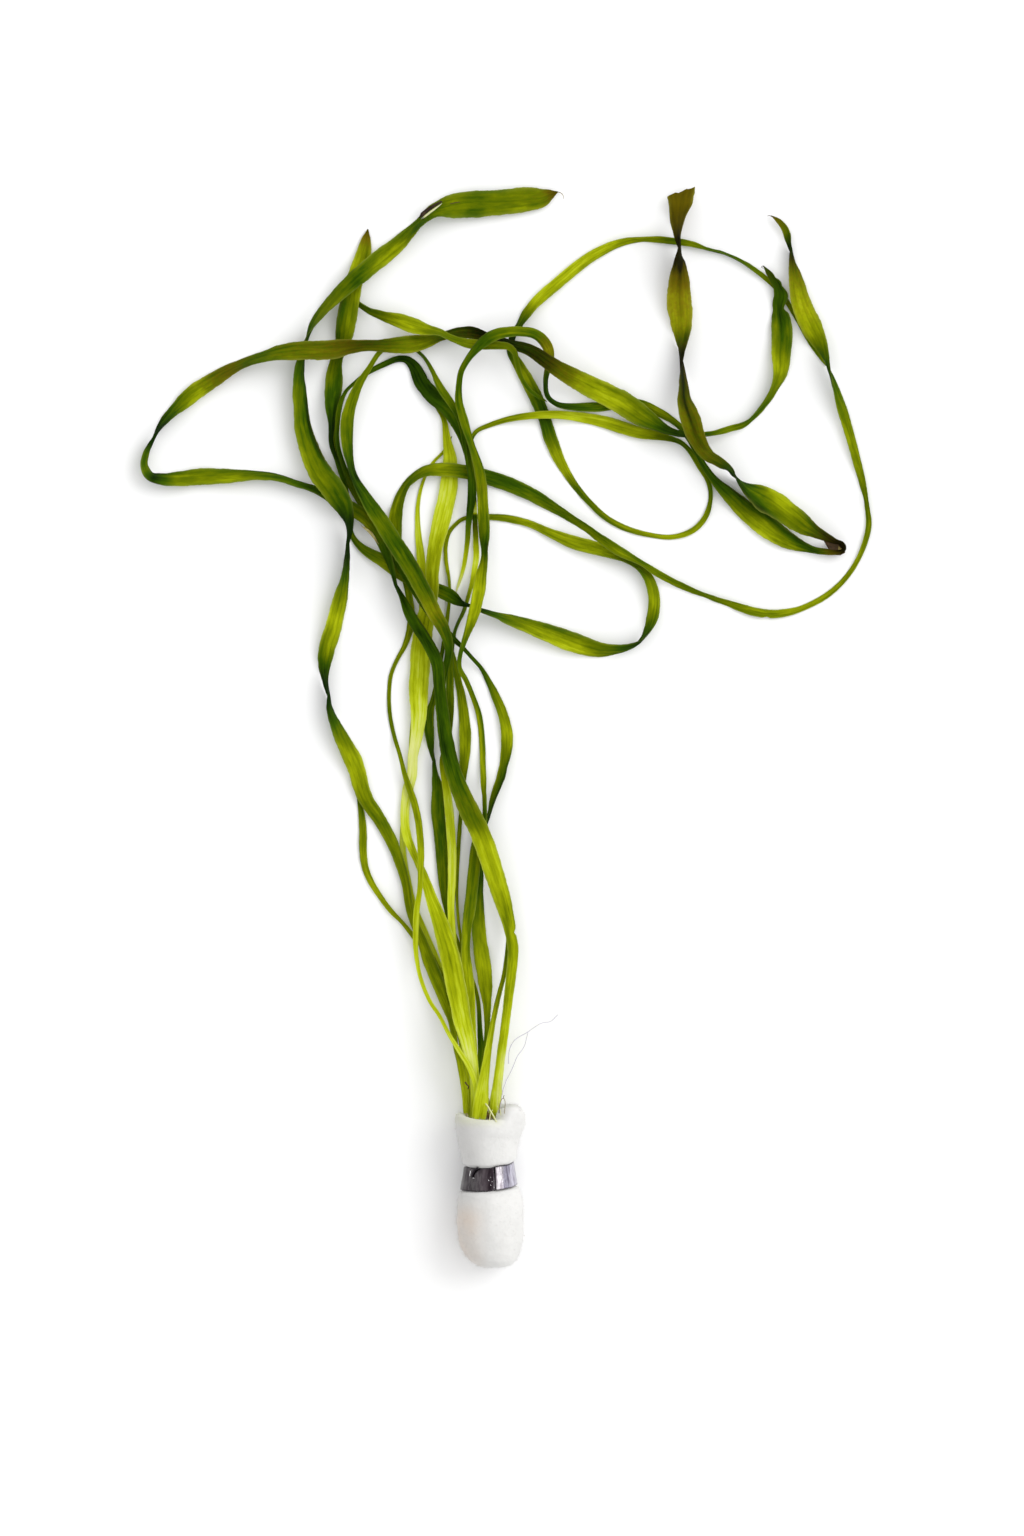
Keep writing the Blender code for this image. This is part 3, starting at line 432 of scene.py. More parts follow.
farLoopLeaf = {
    "piece": "far_loop_leaf", "node": "leaf_far_loop", "slot": "leaf_green",
    "route": [
        (763, 266, 2, 6), (772, 278, 8), (778, 287, 10), (780, 297, 14), (779, 308, 9),
        (781, 320, 20), (782, 335, 22), (781, 352, 20), (780, 372, 15), (774, 388, 8),
        (767, 400, 6), (755, 415, 4), (745, 424, 4), (730, 429, 6), (715, 434, 4),
        (700, 436, 5), (685, 436, 6, 6), (668, 432, 8, 7), (655, 425, 14, 9), (640, 415, 22),
        (620, 402, 24), (600, 392, 22), (580, 382, 20), (560, 371, 16), (545, 361, 14),
        (530, 351, 11, 9), (515, 346, 9, 8), (500, 341, 7), (488, 337, 6), (470, 333, 12),
        (455, 334, 10), (443, 337, 8), (430, 341, 12), (410, 345, 18), (390, 346, 14),
        (370, 346, 9), (350, 348, 13), (330, 351, 19), (300, 352, 19), (280, 354, 15),
        (260, 359, 11), (245, 364, 10), (230, 371, 13), (210, 383, 16), (192, 395, 17),
        (177, 409, 12), (165, 422, 8), (157, 433, 4), (152, 443, 2), (147, 455, 5),
        (146, 466, 8), (151, 476, 9), (162, 479, 12), (178, 479, 15), (200, 477, 17),
        (230, 476, 14), (255, 475, 10), (280, 478, 7, 8), (300, 484, 6, 4), (320, 491, 8),
        (345, 505, 14), (368, 520, 14), (380, 538, 12), (389, 562, 8), (396, 585, 4),
        (404, 603, 7, 4), (413, 620, 12, 12), (427, 642, 12), (437, 662, 12), (440, 690, 12),
        (443, 715, 13), (447, 745, 15), (453, 770, 16), (461, 792, 18), (470, 812, 20),
        (480, 832, 20), (490, 860, 20), (499, 888, 19), (506, 912, 15), (511, 935, 11),
        (513, 950, 11), (511, 975, 10), (508, 1000, 9), (505, 1025, 9), (501, 1055, 9),
        (498, 1080, 9), (497, 1100, 9), (496, 1117, 9), (494, 1148, 6)],
    "shades": [
        (0, 10, 50), (8, 20, 20), (12, 22, 10), (19, 40, 0, 40, 80), (27, 50, 0, 40, 60),
        (33, 60), (43, 50), (53, 50), (62, 50), (71, 20, 10), (79, 28, 10), (86, 46, 10),
        (93, 63, 12, -40), (100, 72, 10, -30), (106, 64, 26, -20), (110, 49, 42, -10),
        (114, 44, 50), (117, 26, 55), (120, 18, 50), (129, 18, 40), (138, 6, 60, -50),
        (143, 10, 50, -60), (148, 22, 40, -40), (156, 54, 25, -30), (165, 46, 30, -30),
        (180, 40, 60), (187, 45, 45), (198, 45, 35), (207, 38, 20), (217, 44, 60),
        (222, 46, 45), (228, 66, 20, -20), (233, 52, 0, -30), (242, 24), (248, 6), (253, 46),
        (258, 50), (261, 14), (268, 50, 0, 40), (284, 54, 0, 40), (299, 40, 0, 30),
        (312, 30, 0, 20), (322, 36, 15, 40), (330, 42, 30, 40), (350, 26), (369, 14), (388, 22),
        (401, 16), (412, 30, 10, -10), (420, 42, 25), (426, 50, 20), (430, 70),
        (433, 74, 0, -20), (447, 72), (457, 56), (466, 60), (481, 66, 0, -40),
        (498, 92, 0, -60), (509, 100, 0, -50), (517, 80, 0, -30)],
    "nicks": [
        (461, 1, 0.35, 0.7), (247.5, 1, 0.45, 2.2), (247.5, -1, 0.45, 2.2),
        (513.5, -1, -0.7, 5), (14.5, -1, 0.2, 1.2), (14.5, 1, 0.34, 1.4), (10.5, 1, -0.25, 1.2),
        (5, 1, 0.3, 0.8), (8, 1, 0.25, 0.6)],
}

roundLoopLeaf = {
    "piece": "round_loop_leaf", "node": "leaf_round_loop", "slot": "leaf_green",
    "route": [
        (826, 366, 2, 3), (818, 354, 4), (810, 342, 5), (795, 315, 5), (782, 295, 5),
        (765, 278, 5), (745, 264, 3), (725, 254, 2), (705, 249, 3), (690, 244, 6),
        (670, 241, 7), (645, 239, 4), (620, 243, 8), (591, 257, 11), (558, 283, 12),
        (533, 306, 11), (519, 327, 6), (513, 338, 6), (511, 350, 8), (517, 362, 10),
        (528, 382, 13), (538, 402, 14), (545, 420, 12), (550, 437, 14), (557, 455, 12),
        (565, 470, 9), (576, 487, 7), (590, 503, 6), (605, 517, 6), (625, 528, 6),
        (650, 535, 5), (672, 537, 5), (690, 532, 6), (702, 522, 6), (709, 508, 5),
        (711, 492, 4), (708, 480, 5), (700, 467, 6), (690, 452, 5), (680, 443, 4, 3),
        (660, 437, 8, 4), (640, 433, 12), (620, 427, 13), (600, 421, 12), (570, 416, 9),
        (545, 415, 8), (510, 419, 6), (490, 425, 5), (476, 432, 4), (470, 445, 4),
        (472, 465, 4), (474, 490, 4, 4), (475, 520, 5), (476, 545, 6), (476, 558, 6, 1),
        (472, 580, 4), (464, 609, 3), (455, 630, 3, 1), (451, 650, 5, 3), (450, 668, 7, 5),
        (450, 690, 8), (451, 715, 6), (450, 735, 3), (446, 748, 4), (443, 760, 6),
        (447, 790, 8), (450, 820, 9), (452, 850, 9), (452, 880, 8), (451, 905, 7),
        (452, 925, 7), (454, 942, 6), (458, 965, 5), (465, 990, 4), (469, 1020, 4),
        (473, 1050, 4), (475, 1085, 4), (477, 1117, 4), (481, 1148, 4)],
    "shades": [
        (0, 40), (18, 45), (32, 40), (46, 40), (57, 60), (62, 36), (69, 62), (82, 70, 0, 30),
        (96, 76, 0, 30), (110, 70, 0, 20), (123, 12), (128, 34), (134, 62), (142, 36),
        (149, 16), (155, 32), (160, 62), (166, 66), (172, 36), (180, 42, 0, -40),
        (191, 58, 0, -40), (206, 62), (217, 55), (225, 45), (239, 40), (250, 50), (256, 68, 10),
        (262, 62, 10), (277, 88), (295, 55), (306, 45), (317, 14), (327, 10), (329, 85),
        (331, 110), (332, 30), (335, 32, 45), (341, 74), (346, 92), (354, 72), (360, 45),
        (373, 35), (388, 40), (404, 50), (410, 66), (419, 96), (437, 96), (456, 86), (476, 75),
        (505, 75), (515, 80)],
}

innerArchLeaf = {
    "piece": "inner_arch_leaf", "node": "leaf_inner_arch", "slot": "leaf_green",
    "route": [
        (468, 468, 2, 5.5), (464, 442, 4), (459, 418, 6), (450, 402, 8), (441, 389, 8),
        (434, 376, 4), (427, 362, 3), (419, 353, 3), (409, 346, 4), (398, 344, 5),
        (387, 347, 5), (378, 355, 5), (370, 368, 5, 5), (360, 384, 8), (353, 400, 11),
        (348, 418, 13), (347, 440, 12), (349, 460, 8), (354, 478, 6), (365, 497, 12),
        (380, 520, 16), (396, 545, 17), (412, 570, 17), (424, 592, 16), (434, 612, 15, 5),
        (445, 632, 12, 11), (449, 650, 8), (445, 672, 6), (442, 692, 6), (443, 715, 6),
        (447, 745, 7), (453, 770, 8), (461, 792, 8), (470, 812, 8), (480, 832, 8),
        (491, 860, 8), (500, 888, 7), (507, 912, 6), (509, 940, 5), (505, 972, 4),
        (499, 997, 4), (494, 1020, 5), (490, 1042, 6), (487, 1060, 8), (484, 1078, 10),
        (480, 1100, 12), (478, 1117, 12), (481, 1148, 6)],
    "shades": [
        (0, 25), (15, 30), (26, 45), (38, 40), (45, 50), (54, 50), (68, 45), (80, 40, 0, 40),
        (92, 22), (107, 37, 15), (115, 30, 5), (124, 32, 20, 40), (132, 34, 20, 40),
        (139, 56, 40), (145, 30, 30), (150, 24, 20), (153, 14), (166, 40), (195, 40), (217, 50),
        (233, 50), (251, 55), (263, 78, 0, 30), (273, 95, 0, 40), (281, 92, 0, 30),
        (289, 88, 0, 20), (296, 80)],
    "nicks": [
        (292, 1, -0.55, 5)],
}

darkArchLeaf = {
    "piece": "dark_arch_leaf", "node": "leaf_dark_arch", "slot": "leaf_dark",
    "route": [
        (456, 592, 2, 1.4), (463, 570, 4, 1.4), (467, 545, 5, 4.5), (469, 520, 6),
        (472, 495, 9), (471, 470, 8), (466, 445, 10), (458, 425, 13), (447, 408, 16),
        (434, 397, 16), (422, 383, 15), (415, 368, 13), (407, 360, 7), (398, 359, 6),
        (385, 364, 6), (370, 372, 5, 4), (358, 381, 4), (346, 393, 3), (340, 408, 5),
        (337, 430, 4), (338, 448, 4, 4), (343, 465, 5, 3), (356, 492, 7), (375, 525, 9),
        (395, 558, 9), (415, 590, 9), (432, 615, 9, 3), (447, 633, 8, 6.5), (463, 648, 4),
        (472, 658, 4), (481, 668, 4), (489, 682, 6), (496, 697, 9), (503, 715, 10),
        (507, 735, 12), (506, 755, 10), (502, 775, 8), (497, 790, 7), (492, 805, 5),
        (488, 818, 4), (484, 830, 5), (481, 845, 7), (479, 870, 10), (478, 900, 12),
        (479, 930, 14), (481, 950, 15), (484, 970, 16), (486, 990, 13), (487, 1005, 8),
        (487, 1030, 5), (485, 1050, 4), (482, 1080, 4), (479, 1117, 4), (482, 1148, 4)],
    "shades": [
        (0, 120), (5, 105), (11, 72), (19, 34), (24, 16), (29, 6), (37, 32, 0, 30), (50, 22),
        (57, 34, 0, 30), (62, 16), (71, 6), (79, 6), (85, 24), (93, 36), (110, 35), (130, 35),
        (153, 22), (173, 30), (181, 18, 10), (187, 14, 20), (200, 34, 0, -20),
        (207, 48, 0, -30), (216, 68, 0, -30), (222, 56, 0, 30), (229, 48, 0, 80),
        (235, 46, 0, 100), (242, 36, 0, 90), (251, 8), (259, 20), (267, 38), (276, 56, 0, -40),
        (288, 66, 0, -30), (300, 50, 0, 20), (311, 30, 0, 30), (320, 32, 0, 20), (330, 60)],
}

brownTippedLeaf = {
    "piece": "brown_tipped_leaf", "node": "leaf_brown_tipped", "slot": "leaf_olive", "tear": 3.3,
    "route": [
        (683, 189, 16, 8), (681, 200, 24), (680, 215, 12), (678, 235, 6), (679, 248, 3),
        (679, 262, 10), (679, 275, 18), (679, 300, 25), (680, 315, 24), (681, 332, 18),
        (681, 345, 10), (681, 358, 3), (682, 375, 6), (683, 388, 10), (684, 402, 14),
        (690, 420, 20), (697, 440, 17), (707, 455, 11), (720, 463, 9), (730, 470, 7),
        (735, 478, 6), (748, 489, 13), (770, 501, 24), (790, 516, 24), (806, 528, 17),
        (822, 537, 8), (834, 542, 4), (842, 545, 2.5), (843, 550, 2.5, 8), (835, 552, 4, 5),
        (826, 552, 5), (816, 551, 3), (800, 546, 12), (780, 536, 20), (755, 518, 22),
        (732, 498, 16), (714, 480, 8), (704, 466, 6), (697, 453, 6), (688, 437, 7),
        (677, 424, 6), (658, 412, 9), (640, 404, 9), (620, 404, 10), (600, 407, 10),
        (575, 407, 8), (557, 404, 5), (548, 396, 4), (546, 382, 5), (549, 367, 6),
        (550, 355, 9), (546, 345, 11), (536, 336, 10, 5), (520, 333, 10, 11), (500, 335, 11),
        (487, 341, 12), (475, 352, 8, 11), (467, 362, 6), (461, 374, 6, 6), (459, 388, 6),
        (459, 402, 8), (463, 418, 9), (470, 440, 6), (476, 458, 8), (481, 480, 11),
        (483, 505, 11), (484, 528, 12), (484, 545, 6), (484, 557, 6), (481, 575, 11),
        (479, 592, 13), (475, 610, 12), (470, 627, 9, 6), (465, 642, 5, 7), (461, 655, 3),
        (460, 668, 4), (466, 680, 5), (473, 697, 5), (479, 715, 6), (482, 740, 6),
        (483, 770, 6), (484, 800, 4), (484, 820, 4), (481, 832, 8), (477, 845, 12),
        (474, 870, 12), (471, 900, 12), (467, 930, 9), (466, 955, 9), (468, 975, 11),
        (470, 1000, 11), (472, 1030, 9), (475, 1055, 5), (476, 1075, 5), (476, 1117, 5),
        (480, 1148, 4)],
    "shades": [
        (0, 32, 80), (4, 42, 80), (10, 44, 75), (14, 34, 75, 0, 30), (17, 14, 70, 0, 60),
        (19, 2, 70, 0, 80), (22, 12, 70, 0, 100), (24, 24, 70, 0, 100), (26, 40, 74, 30, 80),
        (29, 50, 72, 40, 70), (32, 62, 60, 40, 50), (36, 68, 56, 30, 40), (41, 72, 46, 50, 20),
        (45, 52, 38, 80), (48, 34, 50, 40), (51, 16, 70), (59, 32, 50, 0, 80),
        (67, 40, 50, 0, 100), (73, 42, 50, 0, 80), (81, 52, 45), (86, 45, 40), (93, 30),
        (96, 28, 0, -30), (104, 50, 0, -90), (111, 58, 10, -60), (118, 50, 20, 40),
        (124, 35, 50, 80), (128, 20, 90), (132, 10, 100), (136, 25, 70), (141, 30, 20),
        (147, 42, 0, -80), (158, 58, 0, -90), (169, 42, 0, -90), (178, 20, 0, -30),
        (184, 20, 0, -30), (193, 26), (206, 50, 0, 30), (211, 42), (226, 36), (236, 22),
        (243, 18, 10), (250, 42, 45), (254, 60, 55), (257, 40, 45, 20), (260, 32, 15, 30),
        (266, 42, 0, 40), (272, 40, 0, 20), (275, 26, 10), (282, 30), (292, 30), (301, 40),
        (318, 42, 20, 30), (323, 46, 30), (329, 48, 10), (336, 44, 10), (340, 38, 15, 50),
        (343, 44, 10, 60), (346, 56, 20, 50), (350, 66, 15, 60), (354, 70, 5, 40), (364, 60),
        (376, 40), (393, 46, 0, 50), (404, 62, 0, 70), (417, 64, 0, 60), (426, 54, 0, 40),
        (433, 42), (449, 40), (466, 62), (479, 70), (496, 75), (515, 75)],
    "nicks": [
        (0, 1, -0.3, 2.4), (0, -1, -0.6, 2.4), (10, 1, -0.3, 4), (10, -1, -0.3, 4),
        (103.5, -1, -0.24, 4), (158, -1, -0.2, 4)],
}

topRunLeaf = {
    "piece": "top_run_leaf", "node": "leaf_top_run", "slot": "leaf_green",
    "route": [
        (547, 402, 2, 4.5), (540, 398, 4), (530, 391, 4), (521, 378, 4, 4.5), (517, 364, 5, 10),
        (514, 353, 6), (508, 348, 7), (500, 347, 8), (480, 346, 10), (465, 344, 9),
        (450, 339, 6), (440, 334, 7), (427, 331, 11), (412, 326, 16), (398, 321, 14),
        (385, 317, 10, 10), (370, 311, 6, 2), (361, 305, 3), (354, 300, 2.5, 1),
        (349, 303, 2.5), (347, 312, 3), (346, 325, 5, 0.5), (343, 345, 5), (339, 365, 5),
        (335, 388, 5, 0), (334, 410, 5), (334, 430, 5), (337, 453, 5), (345, 476, 5),
        (358, 500, 5), (375, 525, 5), (392, 550, 5), (410, 575, 5), (427, 602, 5),
        (441, 627, 5), (452, 655, 6, 0), (458, 680, 7, 4.5), (462, 700, 9), (465, 730, 12),
        (465, 752, 11), (463, 775, 8), (462, 795, 5), (461, 815, 3), (459, 840, 4),
        (457, 875, 4), (457, 900, 3), (459, 925, 3), (462, 945, 3), (465, 965, 3),
        (468, 985, 3), (472, 1015, 3), (475, 1050, 3), (477, 1085, 4), (478, 1117, 4),
        (481, 1148, 4)],
    "shades": [
        (0, 30, 10), (11, 35, 20), (21, 40, 30), (29, 42, 30), (40, 54, 10), (51, 72, 0, -20),
        (57, 66, 0, -20), (62, 52), (68, 50), (71, 30), (79, 40), (104, 40), (133, 35),
        (160, 35), (187, 40), (203, 48), (215, 60), (230, 45), (255, 50), (281, 62), (317, 72),
        (327, 75)],
}

leaves = [tallLeftLeaf, shortLeftLeaf, rightSweepLeaf, paleBroadLeaf, paleNarrowLeaf,
          middleLoopLeaf, farLoopLeaf, roundLoopLeaf, innerArchLeaf, darkArchLeaf,
          brownTippedLeaf, topRunLeaf]

# How the leaves twist and settle on each other, in metres. These match the solid leaves.
pile = {
    "thickness": 0.0006, "clearance": 0.00045, "leastHalfWidth": 0.00036,
    "stationSpacing": 0.001, "acrossSpacing": 0.0009, "curveSteps": 40,
    "widthSoftening": 2, "rollSoftening": 3, "freeSoftening": 4,
    "twistRatio": 0.34, "tiltRatio": 0.82,
    "neighbourReach": 0.0011, "selfReach": 25, "crossingClimb": 0.40, "ownClimb": 0.06,
    "crestWindow": 2, "rounds": 400, "settledMove": 0.000002,
    "baseHeight": 0.0042, "baseRise": 0.0006, "baseDroop": 0.100,
}


def onSheet(x, y):
    return (x - sheet["centreX"]) * sheet["step"], (sheet["centreY"] - y) * sheet["step"]


def routeColumns(route):
    place, seen, level = [], [], []
    for station in route:
        place.append(onSheet(station[0], station[1]))
        seen.append(station[2] * sheet["step"])
        level.append(station[3] if len(station) > 3 else level[-1])
    return np.array(place), np.array(seen), np.array(level, float)


# The leaf's real width and its roll at each station, from how wide it looks from above
def widthsAndRolls(seen):
    last = len(seen) - 1
    crests = [i for i in range(last + 1)
              if (i == 0 or seen[i] >= seen[i - 1]) and (i == last or seen[i] >= seen[i + 1])]
    real = seen.copy()
    roll = np.zeros(len(seen))
    turned = 0.0
    side = 1.0
    for start, end in zip(crests, crests[1:]):
        inner = np.arange(start + 1, end)
        if len(inner) == 0:
            roll[end] = turned
            continue
        trough = inner[np.argmin(seen[inner])]
        ratio = seen[trough] / min(seen[start], seen[end])
        if ratio > pile["tiltRatio"]:
            roll[start + 1:end + 1] = turned
            continue
        blend = (inner - start) / (end - start)
        real[inner] = np.maximum(seen[start] + (seen[end] - seen[start]) * blend, seen[inner])
        tilt = np.arccos(seen[inner] / real[inner])
        if ratio > pile["twistRatio"]:
            roll[inner] = turned + side * tilt
            side = -side
        else:
            roll[inner] = np.where(inner < trough, turned + tilt, turned + math.pi - tilt)
            roll[trough] = turned + math.pi / 2
            turned += math.pi
        roll[end] = turned
    roll[crests[-1]:] = turned
    return real, roll


def soften(values, reach):
    padded = np.pad(values, reach, mode="edge")
    return np.convolve(padded, np.ones(2 * reach + 1) / (2 * reach + 1), mode="valid")


def evenStations(route):
    place, seen, level = routeColumns(route)
    real, roll = widthsAndRolls(seen)
    chord = np.linalg.norm(np.diff(place, axis=0), axis=1)
    knot = np.concatenate([[0.0], np.cumsum(np.sqrt(chord))])
    gap = np.diff(knot)[:, None]
    slope = np.diff(place, axis=0) / gap
    tangent = np.empty_like(place)
    tangent[1:-1] = (slope[:-1] * gap[1:] + slope[1:] * gap[:-1]) / (gap[1:] + gap[:-1])
    tangent[0] = slope[0]
    tangent[-1] = slope[-1]
    fine = np.linspace(0.0, knot[-1], pile["curveSteps"] * len(knot))
    k = np.clip(np.searchsorted(knot, fine, side="right") - 1, 0, len(knot) - 2)
    u = ((fine - knot[k]) / gap[k, 0])[:, None]
    curve = ((2 * u**3 - 3 * u**2 + 1) * place[k] + (u**3 - 2 * u**2 + u) * gap[k] * tangent[k]
             + (3 * u**2 - 2 * u**3) * place[k + 1] + (u**3 - u**2) * gap[k] * tangent[k + 1])
    run = np.concatenate([[0.0], np.cumsum(np.linalg.norm(np.diff(curve, axis=0), axis=1))])
    at = np.linspace(0.0, run[-1], int(round(run[-1] / pile["stationSpacing"])) + 1)
    knotAt = np.interp(at, run, fine)
    return {
        "xy": np.stack([np.interp(at, run, curve[:, 0]), np.interp(at, run, curve[:, 1])], axis=1),
        "run": at,
        "width": soften(np.interp(knotAt, knot, real), pile["widthSoftening"]),
        "roll": soften(np.interp(knotAt, knot, roll), pile["rollSoftening"]),
        "level": np.interp(knotAt, knot, level),
    }


# The lowest smooth line that stays above the given heights and climbs no faster than this
def drapeOver(heights, climb):
    reach = pile["crestWindow"]
    ramp = climb * pile["stationSpacing"] * np.arange(len(heights))
    forward = np.maximum.accumulate(heights + ramp) - ramp
    back = (np.maximum.accumulate((heights + ramp[::-1])[::-1]))[::-1] - ramp[::-1]
    line = np.pad(np.maximum(forward, back), 2 * reach, mode="edge")
    windows = np.lib.stride_tricks.sliding_window_view(line, 4 * reach + 1)
    return soften(soften(windows.max(axis=1), reach), reach)


def sideVectors(xy):
    heading = np.gradient(xy, axis=0)
    heading /= np.linalg.norm(heading, axis=1)[:, None]
    return np.stack([-heading[:, 1], heading[:, 0]], axis=1)


# Which stations pass over which, and by how much each must clear the one below
def findCrossings(strands):
    owner, place, offset = [], [], []
    base = 0
    for strand in strands:
        side = sideVectors(strand["xy"])
        for i in range(len(strand["xy"])):
            half = strand["width"][i] / 2
            count = max(2, int(math.ceil(2 * half / pile["acrossSpacing"])) + 1)
            for u in np.linspace(-1.0, 1.0, count):
                spot = strand["xy"][i] + side[i] * (u * half * math.cos(strand["roll"][i]))
                owner.append(base + i)
                place.append((spot[0], spot[1], 0.0))
                offset.append(u * half * math.sin(strand["roll"][i]))
        base += len(strand["xy"])
    leafOf = np.concatenate([np.full(len(s["xy"]), n) for n, s in enumerate(strands)])
    level = np.concatenate([strand["level"] for strand in strands])
    tree = KDTree(len(place))
    for index, spot in enumerate(place):
        tree.insert(spot, index)
    tree.balance()
    lifts = {}
    for index, spot in enumerate(place):
        upper = owner[index]
        for _, other, _ in tree.find_range(spot, pile["neighbourReach"]):
            lower = owner[other]
            if level[upper] <= level[lower]:
                continue
            if leafOf[upper] == leafOf[lower] and abs(upper - lower) < pile["selfReach"]:
                continue
            lift = offset[other] - offset[index] + pile["thickness"] + pile["clearance"]
            if lift > lifts.get((upper, lower), -1.0):
                lifts[(upper, lower)] = lift
    pairs = sorted(lifts)
    upper = np.array([pair[0] for pair in pairs])
    lower = np.array([pair[1] for pair in pairs])
    return upper, lower, np.array([lifts[pair] for pair in pairs])


# Each leaf rests on the floor or on the leaves below it, and comes down from the mouth of
# the plug in a shallow curve. free is 1 where no other leaf is near, 0 where one touches.
def settle(strands):
    starts = np.cumsum([0] + [len(strand["xy"]) for strand in strands])
    spans = list(zip(starts, starts[1:]))
    rest = []
    for strand in strands:
        lowest = np.abs(np.sin(strand["roll"])) * strand["width"] / 2 + pile["thickness"] / 2
        fromBase = pile["stationSpacing"] * np.arange(len(lowest))[::-1]
        droop = np.clip(1.0 - fromBase / pile["baseDroop"], 0.0, 1.0) ** 2
        rest.append(drapeOver(lowest, pile["ownClimb"])
                    + droop * (pile["baseHeight"] + pile["baseRise"] * strand["level"][-1]))
    rest = np.concatenate(rest)
    upper, lower, lift = findCrossings(strands)
    firsts = np.flatnonzero(np.concatenate([[True], upper[1:] != upper[:-1]]))
    height = rest.copy()
    for _ in range(pile["rounds"]):
        needed = rest.copy()
        needed[upper[firsts]] = np.maximum(needed[upper[firsts]],
                                           np.maximum.reduceat(height[lower] + lift, firsts))
        draped = np.concatenate([drapeOver(needed[a:b], pile["crossingClimb"])
                                 for a, b in spans])
        moved = np.max(np.abs(draped - height))
        height = draped
        if moved < pile["settledMove"]:
            break
    free = np.ones(len(height))
    free[upper] = 0.0
    free[lower] = 0.0
    for strand, (a, b) in zip(strands, spans):
        strand["z"] = height[a:b]
        strand["free"] = soften(free[a:b], pile["freeSoftening"])


# Twice as many stations, the new ones on a smooth curve between the old
def doubled(values):
    flat = values if values.ndim == 2 else values[:, None]
    ends = np.vstack([2 * flat[:1] - flat[1:2], flat, 2 * flat[-1:] - flat[-2:-1]])
    middle = (9 * (ends[1:-2] + ends[2:-1]) - ends[:-3] - ends[3:]) / 16
    result = np.empty((2 * len(flat) - 1, flat.shape[1]))
    result[::2] = flat
    result[1::2] = middle
    return result if values.ndim == 2 else result[:, 0]


def unit(vectors):
    return vectors / np.linalg.norm(vectors, axis=1)[:, None]


# Shades are given at a few places along the leaf, whose stations are a millimetre apart,
# and blended between them
def shadeColumns(leaf, strand):
    shades = np.array([(*shade, 0, 0, 0)[:5] for shade in leaf["shades"]], float)
    steps = np.arange(len(strand["xy"]))
    return [np.interp(steps, shades[:, 0], shades[:, k] / 100) for k in range(1, 5)]


leafLook = {
    "columns": 13,             # points across a leaf
    "thickness": 0.26,         # in millimetres, at its middle where it stands on edge
    "flatThickness": 0.5,      # and where it lies flat, as a share of that
    "tipLength": 2.2,          # how soon a tip reaches its full width, in millimetres
    "tipLeast": 0.03,          # where the rounding of a tip starts, as a share of that
    "edgeWander": 0.22,        # how uneven the margins are, as a share of the half width
    "fineWander": 0.6,         # the small bumps of the margins, as a share of the large
    "cup": 0.16,               # how deeply a leaf curls across, in millimetres
    "turnCup": 0.6,            # and how much more where it stands on edge
    "cupLow": 0.4,             # how much of the curl goes below the spine
    "ruffle": 0.30,            # how far the margins wave up and down, in millimetres
    "ruffleRoom": (0.7, 2.0),  # how much of that beside other leaves and away from them
    # noises: bumps in a metre, how much they differ across, and their place in the noise
    "largeBumps": (260.0, 0.01, 0.0), "smallBumps": (900.0, 0.01, 3.0),
    "ruffleBumps": (0.006, 7.0), "seedStep": 0.37,
    "tornBumps": (1.0, 2.6, 11.0), "tornLeast": 0.25, "tornMost": 0.7, "tornSlant": 0.62,
    "uvLength": 20.0,          # lengths of the unwrapped leaf in a metre
    # painted shade where a leaf stands on edge
    "turnShade": 0.26,         # how much a leaf darkens where it stands on edge
    "sharpFrom": 60,           # degrees
}


def leafSpine(leaf, strand):
    xyz = doubled(np.column_stack([strand["xy"], strand["z"]]))
    roll = doubled(strand["roll"])
    along = unit(np.gradient(xyz, axis=0))
    side = np.column_stack([sideVectors(xyz[:, :2]), np.zeros(len(xyz))])
    up = np.cross(along, side)
    across = side * np.cos(roll)[:, None] + up * np.sin(roll)[:, None]
    face = up * np.cos(roll)[:, None] - side * np.sin(roll)[:, None]
    run = doubled(strand["run"])
    half = np.maximum(doubled(strand["width"]) / 2, pile["leastHalfWidth"])
    if "tear" not in leaf:
        half = half * np.sqrt(np.clip(run / (leafLook["tipLength"] * mm), leafLook["tipLeast"], 1))
    halves = {"left": half, "right": half}
    for at, which, depth, length in leaf.get("nicks", []):
        nearest = int(2 * at)   # the spine has two stations in each millimetre
        notch = 1 - depth * np.exp(-((run - run[nearest]) / (length * mm)) ** 2)
        margin = "right" if which * np.cos(roll[nearest]) > 0 else "left"
        halves[margin] = halves[margin] * notch
    tone, brown, lean, streak = shadeColumns(leaf, strand)
    turn = 1 - np.abs(np.cos(strand["roll"]))
    # tone takes painted shade where the leaf stands on edge, and lean carries painted shade onto
    # one side of it
    columns = {
        "tone": tone - leafLook["turnShade"] * turn, "brown": brown, "streak": streak,
        "lean": lean * np.sign(np.cos(strand["roll"])), "free": strand["free"], "turn": turn,
    }
    columns = {label: doubled(values) for label, values in columns.items()}
    columns.update(halves, acrossWay=across, faceWay=face, alongWay=along, along=run)
    edges = [(i, i + 1) for i in range(len(xyz) - 1)]
    return pointsMesh(leaf["piece"] + "_spine", xyz, edges, columns)


